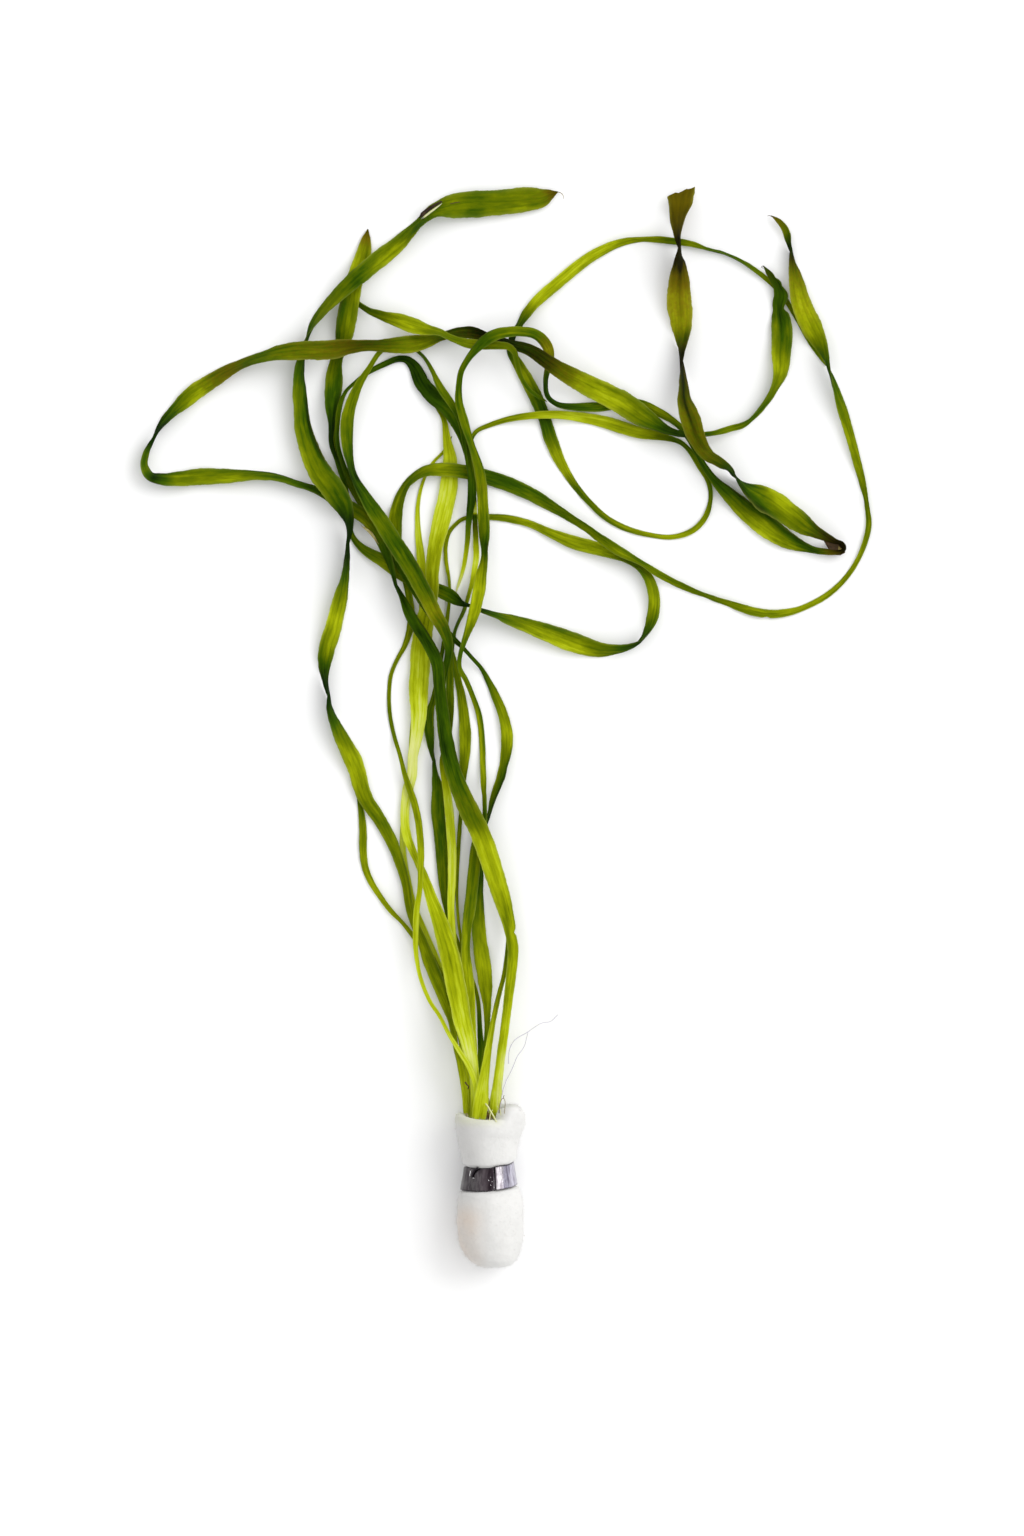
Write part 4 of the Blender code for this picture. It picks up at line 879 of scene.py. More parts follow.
# A leaf: a grid laid along the spine, cupped and ruffled, with a second face under the
# first that meets it at both margins
def leafTree():
    tree, entry, leave = newTree("twistedLeaf", "GeometryNodeTree", {
        "Spine": "Geometry", "Columns": 13, "Cup": 0.0002, "Turn Cup": 0.0005,
        "Ruffle": 0.0003, "Ruffle Length": 0.007, "Edge Wander": 0.05, "Thickness": 0.00026,
        "Tear": 0.0, "Torn Length": 0.006, "Seed": 1.0, "Material": "Material"},
        {"Geometry": "Geometry"})
    spine, columns, wandering = entry["Spine"], entry["Columns"], entry["Edge Wander"]
    rows = put(tree, "GeometryNodeAttributeDomainSize", {"Geometry": spine}, component="MESH")
    grid = put(tree, "GeometryNodeMeshGrid", {"Size X": 1.0, "Size Y": 1.0, "Vertices X": rows,
               "Vertices Y": columns})
    index = put(tree, "GeometryNodeInputIndex")
    row = calc("FLOOR", index / columns)
    evenly = (index - row * columns) / (columns - 1.0) - 0.5
    share = calc("SINE", evenly * math.pi)   # from -1 at one margin to 1 at the other

    def sampled(source, kind="FLOAT"):
        if isinstance(source, str):
            source = put(tree, "GeometryNodeInputNamedAttribute", {"Name": source}, data_type=kind)
        return put(tree, "GeometryNodeSampleIndex",
                   {"Geometry": spine, "Value": source, "Index": row},
                   data_type=kind, domain="POINT")

    def wander(scale, spread, shift):
        place = joinXyz(along, share * spread, entry["Seed"] * leafLook["seedStep"] + shift)
        return noiseAt(place, scale, 2.0) - 0.5

    middle = sampled(put(tree, "GeometryNodeInputPosition"), "FLOAT_VECTOR")
    acrossWay, faceWay, alongWay = (sampled(label, "FLOAT_VECTOR")
                                    for label in ("acrossWay", "faceWay", "alongWay"))
    along, free, turn = (sampled(label) for label in ("along", "free", "turn"))
    half = put(tree, "GeometryNodeSwitch", {"Switch": calc("GREATER_THAN", share, 0.0),
               "False": sampled("left"), "True": sampled("right")}, input_type="FLOAT")

    # margins wander in and out, and the ruffle lifts and drops them where nothing lies close
    small = wander(*leafLook["smallBumps"]) * (wandering * leafLook["fineWander"])
    uneven = wander(*leafLook["largeBumps"]) * wandering + (small + 1.0)
    ripple = wander(1.0 / entry["Ruffle Length"], *leafLook["ruffleBumps"])
    close, clear = leafLook["ruffleRoom"]
    room = free * (clear - close) + close
    lift = ripple * 2.0 * abs(share) * (entry["Ruffle"] * room)
    cupped = (share * share - leafLook["cupLow"]) * (entry["Turn Cup"] * turn + entry["Cup"])
    # a torn end runs out unevenly
    nearTip = put(tree, "ShaderNodeMapRange", {"Value": along, "From Min": 0.0,
                  "From Max": entry["Torn Length"], "To Min": 1.0, "To Max": 0.0})
    jagged = wander(*leafLook["tornBumps"]) * leafLook["tornMost"] + leafLook["tornLeast"]
    slanted = share * -leafLook["tornSlant"] + jagged
    place = added(middle, scaled(acrossWay, half * share * uneven))
    place = added(place, scaled(faceWay, lift + cupped))
    place = added(place, scaled(alongWay, nearTip * entry["Tear"] * slanted))

    labels = {label: sampled(label) for label in ("tone", "brown", "lean", "streak")}
    for label, value in {"along": along, "across": share, **labels}.items():
        grid = put(tree, "GeometryNodeStoreNamedAttribute",
                   {"Geometry": grid, "Name": label, "Value": value},
                   data_type="FLOAT", domain="POINT")
    grid = put(tree, "GeometryNodeStoreNamedAttribute", {"Geometry": grid, "Name": "UVMap",
               "Value": joinXyz(share * 0.5 + 0.5, along * leafLook["uvLength"], 0.0)},
               data_type="FLOAT2", domain="CORNER")
    inside = calc("GREATER_THAN", calc("MINIMUM", row, rows - 1.0 - row), 0.5)
    bulge = calc("SQRT", calc("MAXIMUM", 1.0 - share * share, 0.0))
    flat = leafLook["flatThickness"]
    thick = inside * bulge * (entry["Thickness"] * (turn * (1 - flat) + flat))
    upper, lower = (put(tree, "GeometryNodeSetPosition",
                        {"Geometry": grid, "Position": added(place, scaled(faceWay, away))})
                    for away in (thick, thick * -1.0))
    lower = put(tree, "GeometryNodeFlipFaces", {"Mesh": lower})
    join = tree.nodes.new("GeometryNodeJoinGeometry")
    for side in (lower, upper):
        fill(join.inputs, {0: side})
    closed = put(tree, "GeometryNodeMergeByDistance", {"Geometry": Value(join.outputs[0]),
                 "Distance": 0.001 * mm})
    smooth = put(tree, "GeometryNodeSetShadeSmooth", {"Geometry": keepAbove(tree, closed),
                 "Shade Smooth": True})
    return paint(tree, entry, leave, smooth)


# Effects that several materials use
def streakGroup():
    tree, entry, leave = newTree("lengthwiseStreaks", "ShaderNodeTree", {
        "Across": 0.0, "Along": 0.0, "Count": 7.0, "Length": 0.02, "Sway": 0.5,
        "Vein Power": 6.0, "Seed": 0.0}, {"Streaks": "Float", "Veins": "Float"})
    across, seed = entry["Across"], entry["Seed"]
    lengthwise = entry["Along"] / entry["Length"]
    crosswise = across * entry["Count"]
    sway = noiseAt(joinXyz(across, lengthwise, seed), 0.8, 1.0)
    wave = calc("COSINE", (crosswise + sway * entry["Sway"]) * math.pi)
    fill(leave, {"Streaks": noiseAt(joinXyz(crosswise, lengthwise, seed), 1.0, 3.0, 0.6),
                 "Veins": (wave * 0.5 + 0.5) ** entry["Vein Power"]})
    return tree


def mottleGroup():
    tree, entry, leave = newTree("mottle", "ShaderNodeTree", {
        "Vector": "Vector", "Size": 0.004, "Low": 0.35, "High": 0.65}, {"Mask": "Float"})
    value = noiseAt(entry["Vector"], 1.0 / entry["Size"], 4.0, 0.6)
    fill(leave, {"Mask": fade(value, entry["Low"], entry["High"])})
    return tree


streaks = streakGroup()
mottle = mottleGroup()


def placed(group, inputs):
    return put(treeOf(*inputs.values()), "ShaderNodeGroup", inputs, node_tree=group)


def mottled(place, size, low, high):
    return placed(mottle, {"Vector": place, "Size": size, "Low": low, "High": high})


def objectPlace(tree):
    return put(tree, "ShaderNodeTexCoord", out="Object")


def attribute(tree, name):
    return put(tree, "ShaderNodeAttribute", out="Fac", attribute_name=name)


def bumped(height, strength, depth):
    return put(treeOf(height), "ShaderNodeBump",
               {"Strength": strength, "Distance": depth, "Height": height})


def ramp(value, stops):
    made = put(treeOf(value), "ShaderNodeValToRGB", {0: value})
    elements = made.socket.node.color_ramp.elements
    while len(elements) < len(stops):
        elements.new(0.5)
    for element, (position, colour) in zip(elements, stops):
        element.position = position
        element.color = (*colour, 1)
    return made


def blendColour(share, a, b, kind="MIX"):
    a, b = (colour if isinstance(colour, Value) else (*colour, 1) for colour in (a, b))
    return put(treeOf(share, a, b), "ShaderNodeMix", {0: share, 6: a, 7: b}, 2,
               data_type="RGBA", blend_type=kind)


# Leaf colours from deep green to pale lime, as light goes through and off the blade
leafColours = {
    "ramp": [(0.00, (0.008, 0.028, 0.0003)), (0.25, (0.046, 0.108, 0.0005)),
             (0.50, (0.178, 0.228, 0.0005)), (0.75, (0.430, 0.490, 0.004)),
             (0.90, (0.600, 0.680, 0.022)), (1.02, (0.690, 0.750, 0.120)),
             (1.30, (0.860, 0.870, 0.420))],
    "brownRamp": [(0.0, (0.014, 0.011, 0.001)), (0.5, (0.158, 0.122, 0.002)),
                  (1.0, (0.370, 0.310, 0.008))],
    "brownTone": 1.1,          # how much lighter the brown is than the green it replaces
    "brownFrom": 0.12, "brownTo": 0.80,
    # how much the streaks, the specks and the margins hurry the browning
    "streakBrown": 0.4, "speckBrown": 0.16, "rimBrown": 0.14, "rimPower": 8.0,
    "fineShare": 0.6,          # how strong the fine streaks are beside the broad ones
    "fineStreaks": {"Count": 4.0, "Length": 0.012},
    "broadStreaks": {"Count": 1.3, "Length": 0.02, "Seed": 5.0},
    # how wide and how long a leaf counts in the patches and specks, then their size in
    # metres and where they start and are full
    "patchPlace": (0.004, 0.4, 2.0), "patches": (0.003, 0.3, 0.7),
    "speckPlace": (0.003, 1.0, 0.0), "specks": (0.0011, 0.42, 0.62),
    # the margin colour is partly the paler thin edge of the blade and partly a painted highlight
    # along it
    "margin": (0.60, 0.66, 0.10),
    "marginPower": 10.0,       # how narrow the pale edge is
    # painted shade: a thin dark line along the margins where the blade curls
    "outline": 0.08, "outlinePower": 7.0,   # the dark line just inside it
    # painted shade: lean and deep darken one side of the blade
    "leanShade": (0.20, 0.12),  # how much a lean darkens the green and the brown,
    "deepShade": (0.50, 0.30),  # how much more on its dark side,
    "streakShade": (0.35, 0.30),  # and how much the streak down the middle does
    "streakWidth": 2.2,        # the half width over this is how far the streak reaches
    "passing": 0.42,           # how much of the light goes through the blade
    "glow": 0.6,               # gamma of the light that does
    "roughness": 0.60, "patchRoughness": 0.12,
    "shine": 0.03,
    "relief": (0.35, 0.0002),  # strength, and depth in metres
}

leafFinishes = {
    "leaf_green": {"shift": 0.0, "streak": 0.50, "patch": 0.16, "vein": 0.06, "margin": 0.84},
    "leaf_pale": {"shift": 0.02, "streak": 0.65, "patch": 0.14, "vein": 0.08, "margin": 1.08},
    "leaf_dark": {"shift": 0.0, "streak": 0.45, "patch": 0.14, "vein": 0.05, "margin": 0.48},
    "leaf_olive": {"shift": 0.0, "streak": 0.55, "patch": 0.18, "vein": 0.06, "margin": 0.72},
}


def leafMaterial(name, finish):
    material, tree, shader = newMaterial(name)
    across, along, tone, brown, paintedLean, streak = (
        attribute(tree, label) for label in ("across", "along", "tone", "brown", "lean", "streak"))
    grain = {"Across": across, "Along": along}
    fine, veins = outputs(placed(streaks, {**grain, **leafColours["fineStreaks"]}))
    broad = placed(streaks, {**grain, **leafColours["broadStreaks"]})

    def spotted(place, look):
        wide, long, shift = leafColours[place]
        return mottled(joinXyz(across * wide, along * long, shift), *leafColours[look])

    patch = spotted("patchPlace", "patches")
    specks = spotted("speckPlace", "specks")
    ripple = fine - 0.5
    # painted shade: lean darkens one side of the blade and deep darkens it more; core is the dark
    # streak down the middle
    lean = paintedLean * across
    deep = calc("MAXIMUM", lean, 0.0) ** 2.0
    core = (1.0 - calc("MINIMUM", abs(across) * leafColours["streakWidth"], 1.0)) * streak

    def darkened(shade, which):
        for value, label in ((lean, "leanShade"), (deep, "deepShade"), (core, "streakShade")):
            shade = value * -leafColours[label][which] + shade
        return shade

    shade = ripple * (finish["streak"] * leafColours["fineShare"]) + (tone + finish["shift"])
    shade = (broad - 0.5) * finish["streak"] + shade
    shade = (patch - 0.5) * finish["patch"] + shade
    shade = darkened(veins * -finish["vein"] + shade, 0)
    # painted shade: the blade darkens towards its margins, just inside the pale edge
    shade = abs(across) ** leafColours["outlinePower"] * -leafColours["outline"] + shade
    longest = leafColours["ramp"][-1][0]
    colour = ramp(shade / longest, [(at / longest, hue) for at, hue in leafColours["ramp"]])
    # old tissue browns in patches and along the margins first
    rim = abs(across) ** leafColours["rimPower"]
    worn = (specks - 0.5) * leafColours["speckBrown"] + (rim * leafColours["rimBrown"] + brown)
    worn = ripple * leafColours["streakBrown"] + worn
    aged = fade(worn, leafColours["brownFrom"], leafColours["brownTo"])
    brownTone = tone * leafColours["brownTone"] + ripple * leafColours["fineShare"]
    brownTone = darkened(brownTone, 1)
    colour = blendColour(aged, colour, ramp(brownTone, leafColours["brownRamp"]))
    # a pale rim along both margins: partly the thinner edge tissue, partly a painted highlight
    clear = abs(across) ** leafColours["marginPower"] * (tone * finish["margin"])
    colour = blendColour(clear, colour, leafColours["margin"])
    bump = bumped(veins * 0.5 + fine, *leafColours["relief"])
    fill(shader, {"Base Color": colour, "Specular IOR Level": leafColours["shine"],
                  "Normal": bump,
                  "Roughness": patch * leafColours["patchRoughness"] + leafColours["roughness"]})
    through = put(tree, "ShaderNodeGamma", {"Color": colour, "Gamma": leafColours["glow"]})
    glow = put(tree, "ShaderNodeBsdfTranslucent", {"Color": through, "Normal": bump})
    blade = Value(tree.nodes["Principled BSDF"].outputs[0])
    both = put(tree, "ShaderNodeMixShader", {0: leafColours["passing"], 1: blade, 2: glow})
    fill(tree.nodes["Material Output"].inputs, {"Surface": both})
    return material


leafMaterials = {name: leafMaterial(name, finish) for name, finish in leafFinishes.items()}
strands = [evenStations(leaf["route"]) for leaf in leaves]
settle(strands)
print("leaves settled, highest at", round(max(s["z"].max() for s in strands) / mm, 1), "mm")

bladeTree = leafTree()


def makeLeaf(leaf, strand, seed):
    sizes = {"Cup": leafLook["cup"], "Turn Cup": leafLook["turnCup"],
             "Ruffle": leafLook["ruffle"], "Thickness": leafLook["thickness"],
             "Tear": leaf.get("tear", 0.0)}
    blade = grow(leafSpine(leaf, strand), bladeTree, {
        **{label: size * mm for label, size in sizes.items()},
        "Columns": leafLook["columns"], "Edge Wander": leafLook["edgeWander"],
        "Seed": float(seed), "Material": leafMaterials[leaf["slot"]]}, leaf["piece"])
    blade.data.set_sharp_from_angle(angle=math.radians(leafLook["sharpFrom"]))
    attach(blade, "root")
    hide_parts(leaf["node"])
    return blade


blades = [makeLeaf(leaf, strand, number + 1)
          for number, (leaf, strand) in enumerate(zip(leaves, strands))]
print("leaves made,", sum(len(b.data.polygons) for b in blades), "faces")


# The foam plug: one soft roll, pinched in under the strip. Rings are (y, left, right,
# half height) in millimetres, from its lower end up its outside.
plug = {
    "middleZ": 10.0,
    "sides": 120,
    "ringSpacing": 0.45,
    "rings": [(-161.75, -4.6, -3.0, 0.8), (-161.6, -7.2, -0.4, 4.0), (-161.0, -9.2, 1.6, 6.6),
              (-159.8, -11.0, 3.0, 8.2), (-157.6, -12.8, 4.1, 9.4), (-154.2, -14.3, 4.9, 10.1),
              (-148.2, -15.0, 5.1, 10.2), (-143.0, -14.8, 4.8, 10.1), (-140.2, -14.3, 4.4, 9.6),
              (-138.9, -13.8, 4.0, 9.1), (-138.2, -13.2, 3.3, 8.3), (-137.8, -12.4, 2.2, 7.3),
              (-137.2, -12.4, 1.6, 6.8), (-134.3, -12.1, 1.2, 6.5), (-131.4, -11.8, 1.0, 6.3),
              (-130.8, -12.2, 2.0, 7.2), (-130.3, -13.1, 2.9, 8.2), (-129.2, -13.4, 3.1, 8.6),
              (-126.5, -13.9, 3.3, 9.1), (-123.3, -14.6, 3.8, 9.6), (-121.4, -14.9, 5.0, 10.1),
              (-119.6, -15.3, 5.6, 10.3), (-118.2, -15.5, 5.8, 10.3), (-117.2, -15.4, 5.5, 10.0),
              (-116.7, -15.1, 4.8, 9.6), (-116.5, -14.6, 3.8, 9.1), (-116.5, -13.9, 2.6, 8.4),
              (-116.7, -13.2, 1.2, 7.7), (-117.1, -12.8, 0.0, 7.1), (-117.9, -12.5, -0.7, 6.7),
              (-120.5, -12.3, -0.9, 6.5), (-128.2, -12.0, -1.0, 6.2), (-128.5, -11.0, -2.0, 5.4),
              (-128.7, -9.5, -0.9, 4.3), (-145.0, -9.5, -0.9, 4.3), (-145.2, -7.0, -3.4, 1.6)],
    # how the pinch and the strip lean, from the left side (-1) to the right (1)
    "leanAt": (-1.0, -0.45, 0.0, 0.35, 0.8, 1.0), "lean": (-0.84, -1.1, -1.0, -0.5, 0.0, 0.8),
    "pinchY": -134.3, "leanReach": 5.5,
    "mouthFrom": -122.6, "mouthTo": -117.6,   # where the shape of the rim starts and is full
    "frontDip": 0.9,           # how far the rim dips towards the viewer
    "backRise": 3.3,           # how much further the wall reaches at the back, on the right
    "backReach": (-125, 50),   # the stretch of the rim that does, and how soon it comes down
    "backFade": 15, "cornerFrom": 1.5, "cornerTo": 5.7, "cornerDrop": 0.8, "leftRise": 0.8,
    "lumps": 0.32, "lumpSize": 6.0, "grain": 0.05, "grainSize": 0.9,
    "creases": 0.22, "creaseCount": 2.6, "creaseDrift": 0.06,
    "leastZ": 0.02,
    "fill": 0.7,
}


def leanOf(turn):
    return float(np.interp(math.cos(turn), plug["leanAt"], plug["lean"]))


def plugRings():
    rings = np.array(plug["rings"], float)
    step = np.linalg.norm(np.diff(rings, axis=0), axis=1)
    run = np.concatenate([[0.0], np.cumsum(step)])
    even = np.linspace(0.0, run[-1], int(run[-1] / plug["ringSpacing"]) + 1)
    line = np.column_stack([np.interp(even, run, rings[:, k]) for k in range(4)])
    line[1:-1] = (line[:-2] + 2 * line[1:-1] + line[2:]) / 4
    return line


def plugPoint(y, left, right, half, turn):
    across, up = math.cos(turn), math.sin(turn)
    x = (left + right) / 2 + (right - left) / 2 * across
    nearMouth = (y - plug["mouthFrom"]) / (plug["mouthTo"] - plug["mouthFrom"])
    nearMouth = min(max(nearMouth, 0.0), 1.0)
    degrees = (math.degrees(turn) + 180) % 360 - 180
    beyond = max(plug["backReach"][0] - degrees, degrees - plug["backReach"][1], 0.0)
    facing = max(1 - beyond / plug["backFade"], 0.0)
    corner = max((x - plug["cornerFrom"]) / (plug["cornerTo"] - plug["cornerFrom"]), 0.0)
    rise = facing * facing * (3 - 2 * facing) * plug["backRise"]
    rise *= max(1 - plug["cornerDrop"] * corner ** 2.5, 0.0)
    rise += max(-across, 0.0) ** 3 * plug["leftRise"] - max(up, 0.0) ** 2 * plug["frontDip"]
    lean = leanOf(turn) * math.exp(-((y - plug["pinchY"]) / plug["leanReach"]) ** 4)
    spot = Vector((x, y + rise * nearMouth + lean, plug["middleZ"] + half * up))
    fold = Vector((across * plug["creaseCount"], up * plug["creaseCount"],
                   y * plug["creaseDrift"]))
    swell = (noise.noise(spot / plug["lumpSize"]) * plug["lumps"]
             + noise.noise(fold) * plug["creases"]
             + noise.noise(spot / plug["grainSize"]) * plug["grain"])
    spot += Vector((across, 0, up)) * swell
    spot.z = max(spot.z, plug["leastZ"])
    return spot * mm


def makePlug(material):
    work = bmesh.new()
    turns = [2 * math.pi * k / plug["sides"] for k in range(plug["sides"])]
    loops = [[work.verts.new(plugPoint(*ring, turn)) for turn in turns] for ring in plugRings()]
    stitch(work, loops)
    closeEnd(work, loops[0])
    closeEnd(work, loops[-1])
    piece = meshPiece(work, "foam_roll", material)
    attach(piece, "root")
    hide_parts("foam_plug")
    return piece


# The brownish tint low on the left, the painted shade on the left and the greenish rim start
# and are full at a place along x or y, in metres. Patches and pores have their size in metres
# and where they start and are full. Shares are how much of a colour shows, and a second
# number how much more of it in the patches.
foamColours = {
    "patches": (0.012, 0.3, 0.7), "pores": (0.0007, 0.3, 0.7),
    "white": ((0.60, 0.595, 0.58), (0.64, 0.635, 0.62)),
    "shadedSide": (-0.004, -0.013), "shadow": (0.46, 0.45, 0.44), "shadowShare": 0.35,
    "lowEnd": (-0.140, -0.148), "brownish": (0.62, 0.54, 0.47), "brownShare": (0.4, 0.6),
    "rim": (-0.1205, -0.1175), "rimInside": (0.0005, -0.003), "greenish": (0.52, 0.54, 0.30),
    "greenShare": (0.10, 0.35), "pore": (0.52, 0.52, 0.51), "poreShare": 0.12,
    "relief": (0.25, 0.0002),  # strength, and depth in metres
    "roughness": 0.95, "shine": 0.1, "sheen": 0.3,
}


def foamMaterial():
    material, tree, shader = newMaterial("foam")
    place = objectPlace(tree)
    x, y, _ = splitXyz(place)
    patch = mottled(place, *foamColours["patches"])
    pores = mottled(place, *foamColours["pores"])

    def patchy(label):
        share, more = foamColours[label]
        return patch * more + share

    leftward = fade(x, *foamColours["shadedSide"])
    lowLeftTint = fade(y, *foamColours["lowEnd"]) * leftward * patchy("brownShare")
    green = fade(y, *foamColours["rim"]) * fade(x, *foamColours["rimInside"])
    colour = blendColour(patch, *foamColours["white"])
    colour = blendColour(leftward * foamColours["shadowShare"], colour, foamColours["shadow"])
    colour = blendColour(lowLeftTint, colour, foamColours["brownish"])
    colour = blendColour(green * patchy("greenShare"), colour, foamColours["greenish"])
    colour = blendColour(pores * foamColours["poreShare"], colour, foamColours["pore"])
    fill(shader, {"Base Color": colour, "Roughness": foamColours["roughness"],
                  "Specular IOR Level": foamColours["shine"],
                  "Sheen Weight": foamColours["sheen"],
                  "Normal": bumped(pores, *foamColours["relief"])})
    return material


foam = foamMaterial()
roll = makePlug(foam)
print("plug made,", len(roll.data.polygons), "faces")


# The metal strip, wound once and a bit, its outer end lying over its inner end
band = {
    "width": 7.0, "thickness": 0.5, "bore": 6.92, "flare": 1.15, "lapLift": 1.0,
    "startDegrees": 38.0, "turnDegrees": 396.0,
    "middleX": -5.5, "middleY": -134.3, "middleZ": 10.0,
    "steps": 200, "bevel": 0.14, "dents": 0.10, "ragged": 0.10, "paintedShadeWidth": 0.5,
    "innerRow": 0.5, "edgeFrom": 0.9,   # as shares of half the width
    "sharpFrom": 40,           # degrees
    # the grey metal with a painted reflection across it, by x: dull on the left, nearly black
    # beside the overlap, then a painted highlight, bright and slightly lilac
    "sweep": (-0.0140, 0.0030),
    "ramp": [(0.00, (0.130, 0.124, 0.126)), (0.10, (0.098, 0.092, 0.094)),
             (0.25, (0.148, 0.138, 0.142)), (0.42, (0.096, 0.080, 0.088)),
             (0.52, (0.034, 0.025, 0.030)), (0.59, (0.030, 0.023, 0.028)),
             (0.64, (0.235, 0.223, 0.230)), (0.75, (0.335, 0.323, 0.340)),
             (0.79, (0.285, 0.273, 0.335)), (0.86, (0.345, 0.333, 0.410)),
             (0.90, (0.680, 0.670, 0.760)), (1.00, (0.520, 0.510, 0.600))],
    # size in metres, and where it starts and is full
    "patches": (0.0022, 0.35, 0.65), "grain": (0.0006, 0.35, 0.7), "lines": (0.0008, 0.42, 0.62),
    "lineStretch": 0.08, "relief": (0.15, 0.0001), "roughness": 0.17, "patchRoughness": 0.10,
    "drawn": (0.40, 0.36, 0.40), "drawnShare": 0.8, "worn": (0.62, 0.58, 0.62),
    # dark colours the rim: painted shade along the edges and the outer end, and the hooked nick;
    # bright colours the painted glints
    "wornShare": 0.35, "dark": (0.030, 0.025, 0.030), "darkShare": 0.85,
    "bright": (0.90, 0.89, 0.90),
}


def makeBand(material):
    work = bmesh.new()
    half, dark = band["width"] / 2, band["paintedShadeWidth"]
    inner = half * band["innerRow"]
    steps = [half - band["bevel"], half - dark, inner]
    rows = [(-half, 0.0), (-half, 0.5)] + [(-y, 1.0) for y in steps] + [(0.0, 1.0)]
    rows += [(y, 1.0) for y in reversed(steps)] + [(half, 0.5), (half, 0.0)]
    rows += [(inner, 0.0), (0.0, 0.0), (-inner, 0.0)]
    loops = []
    rim = work.verts.layers.float.new("rim")
    for step in range(band["steps"] + 1):
        share = step / band["steps"]
        turn = math.radians(band["startDegrees"] + band["turnDegrees"] * share)
        bore = band["bore"] + band["lapLift"] * share
        middleY = band["middleY"] + leanOf(turn)
        loop = []
        for y, out in rows:
            wave = noise.noise(Vector((turn * 3, y * 0.6, 2))) * band["dents"]
            ragged = noise.noise(Vector((turn * 4, 9, y))) * band["ragged"]
            radius = bore + band["thickness"] * out + wave - y / half * band["flare"] / 2
            edge = ragged if abs(y) > half * band["edgeFrom"] else 0.0
            loop.append(work.verts.new(Vector((band["middleX"] + radius * math.cos(turn),
                                               middleY + y + edge,
                                               band["middleZ"] + radius * math.sin(turn))) * mm))
            # painted shade: the rim layer darkens both edges and the whole outer end
            loop[-1][rim] = 1.0 if abs(y) > half - dark * 0.9 or step == band["steps"] else 0.0
        loops.append(loop)
    stitch(work, loops)
    work.faces.new(loops[0])
    work.faces.new(loops[-1])
    piece = meshPiece(work, "wound_strip", material)
    piece.data.set_sharp_from_angle(angle=math.radians(band["sharpFrom"]))
    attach(piece, "root")
    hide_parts("metal_strip")


def stripMaterial():
    material, tree, shader = newMaterial("softMetal")
    place = objectPlace(tree)
    x, y, z = splitXyz(place)
    patch = mottled(place, *band["patches"])
    fine = mottled(place, *band["grain"])
    drawn = mottled(joinXyz(x, y * band["lineStretch"], z), *band["lines"])
    # painted reflection: the metal's colour follows x across the strip
    sweep = put(tree, "ShaderNodeMapRange", {"Value": x, "From Min": band["sweep"][0],
                "From Max": band["sweep"][1]})
    rim = attribute(tree, "rim")
    colour = ramp(sweep, band["ramp"])
    colour = blendColour(drawn * band["drawnShare"], colour, band["drawn"], "MULTIPLY")
    colour = blendColour(patch * band["wornShare"], colour, band["worn"], "MULTIPLY")
    # painted shade on the marked edges and end and on the hooked nick, and painted glints where
    # rim is below 0
    for amount, tint in ((band["darkShare"], "dark"), (-1.0, "bright")):
        colour = blendColour(calc("MAXIMUM", rim * amount, 0.0), colour, band[tint])
    fill(shader, {"Base Color": colour, "Metallic": 1.0,
                  "Roughness": patch * band["patchRoughness"] + band["roughness"],
                  "Normal": bumped(fine, *band["relief"])})
    return material


metal = stripMaterial()
makeBand(metal)


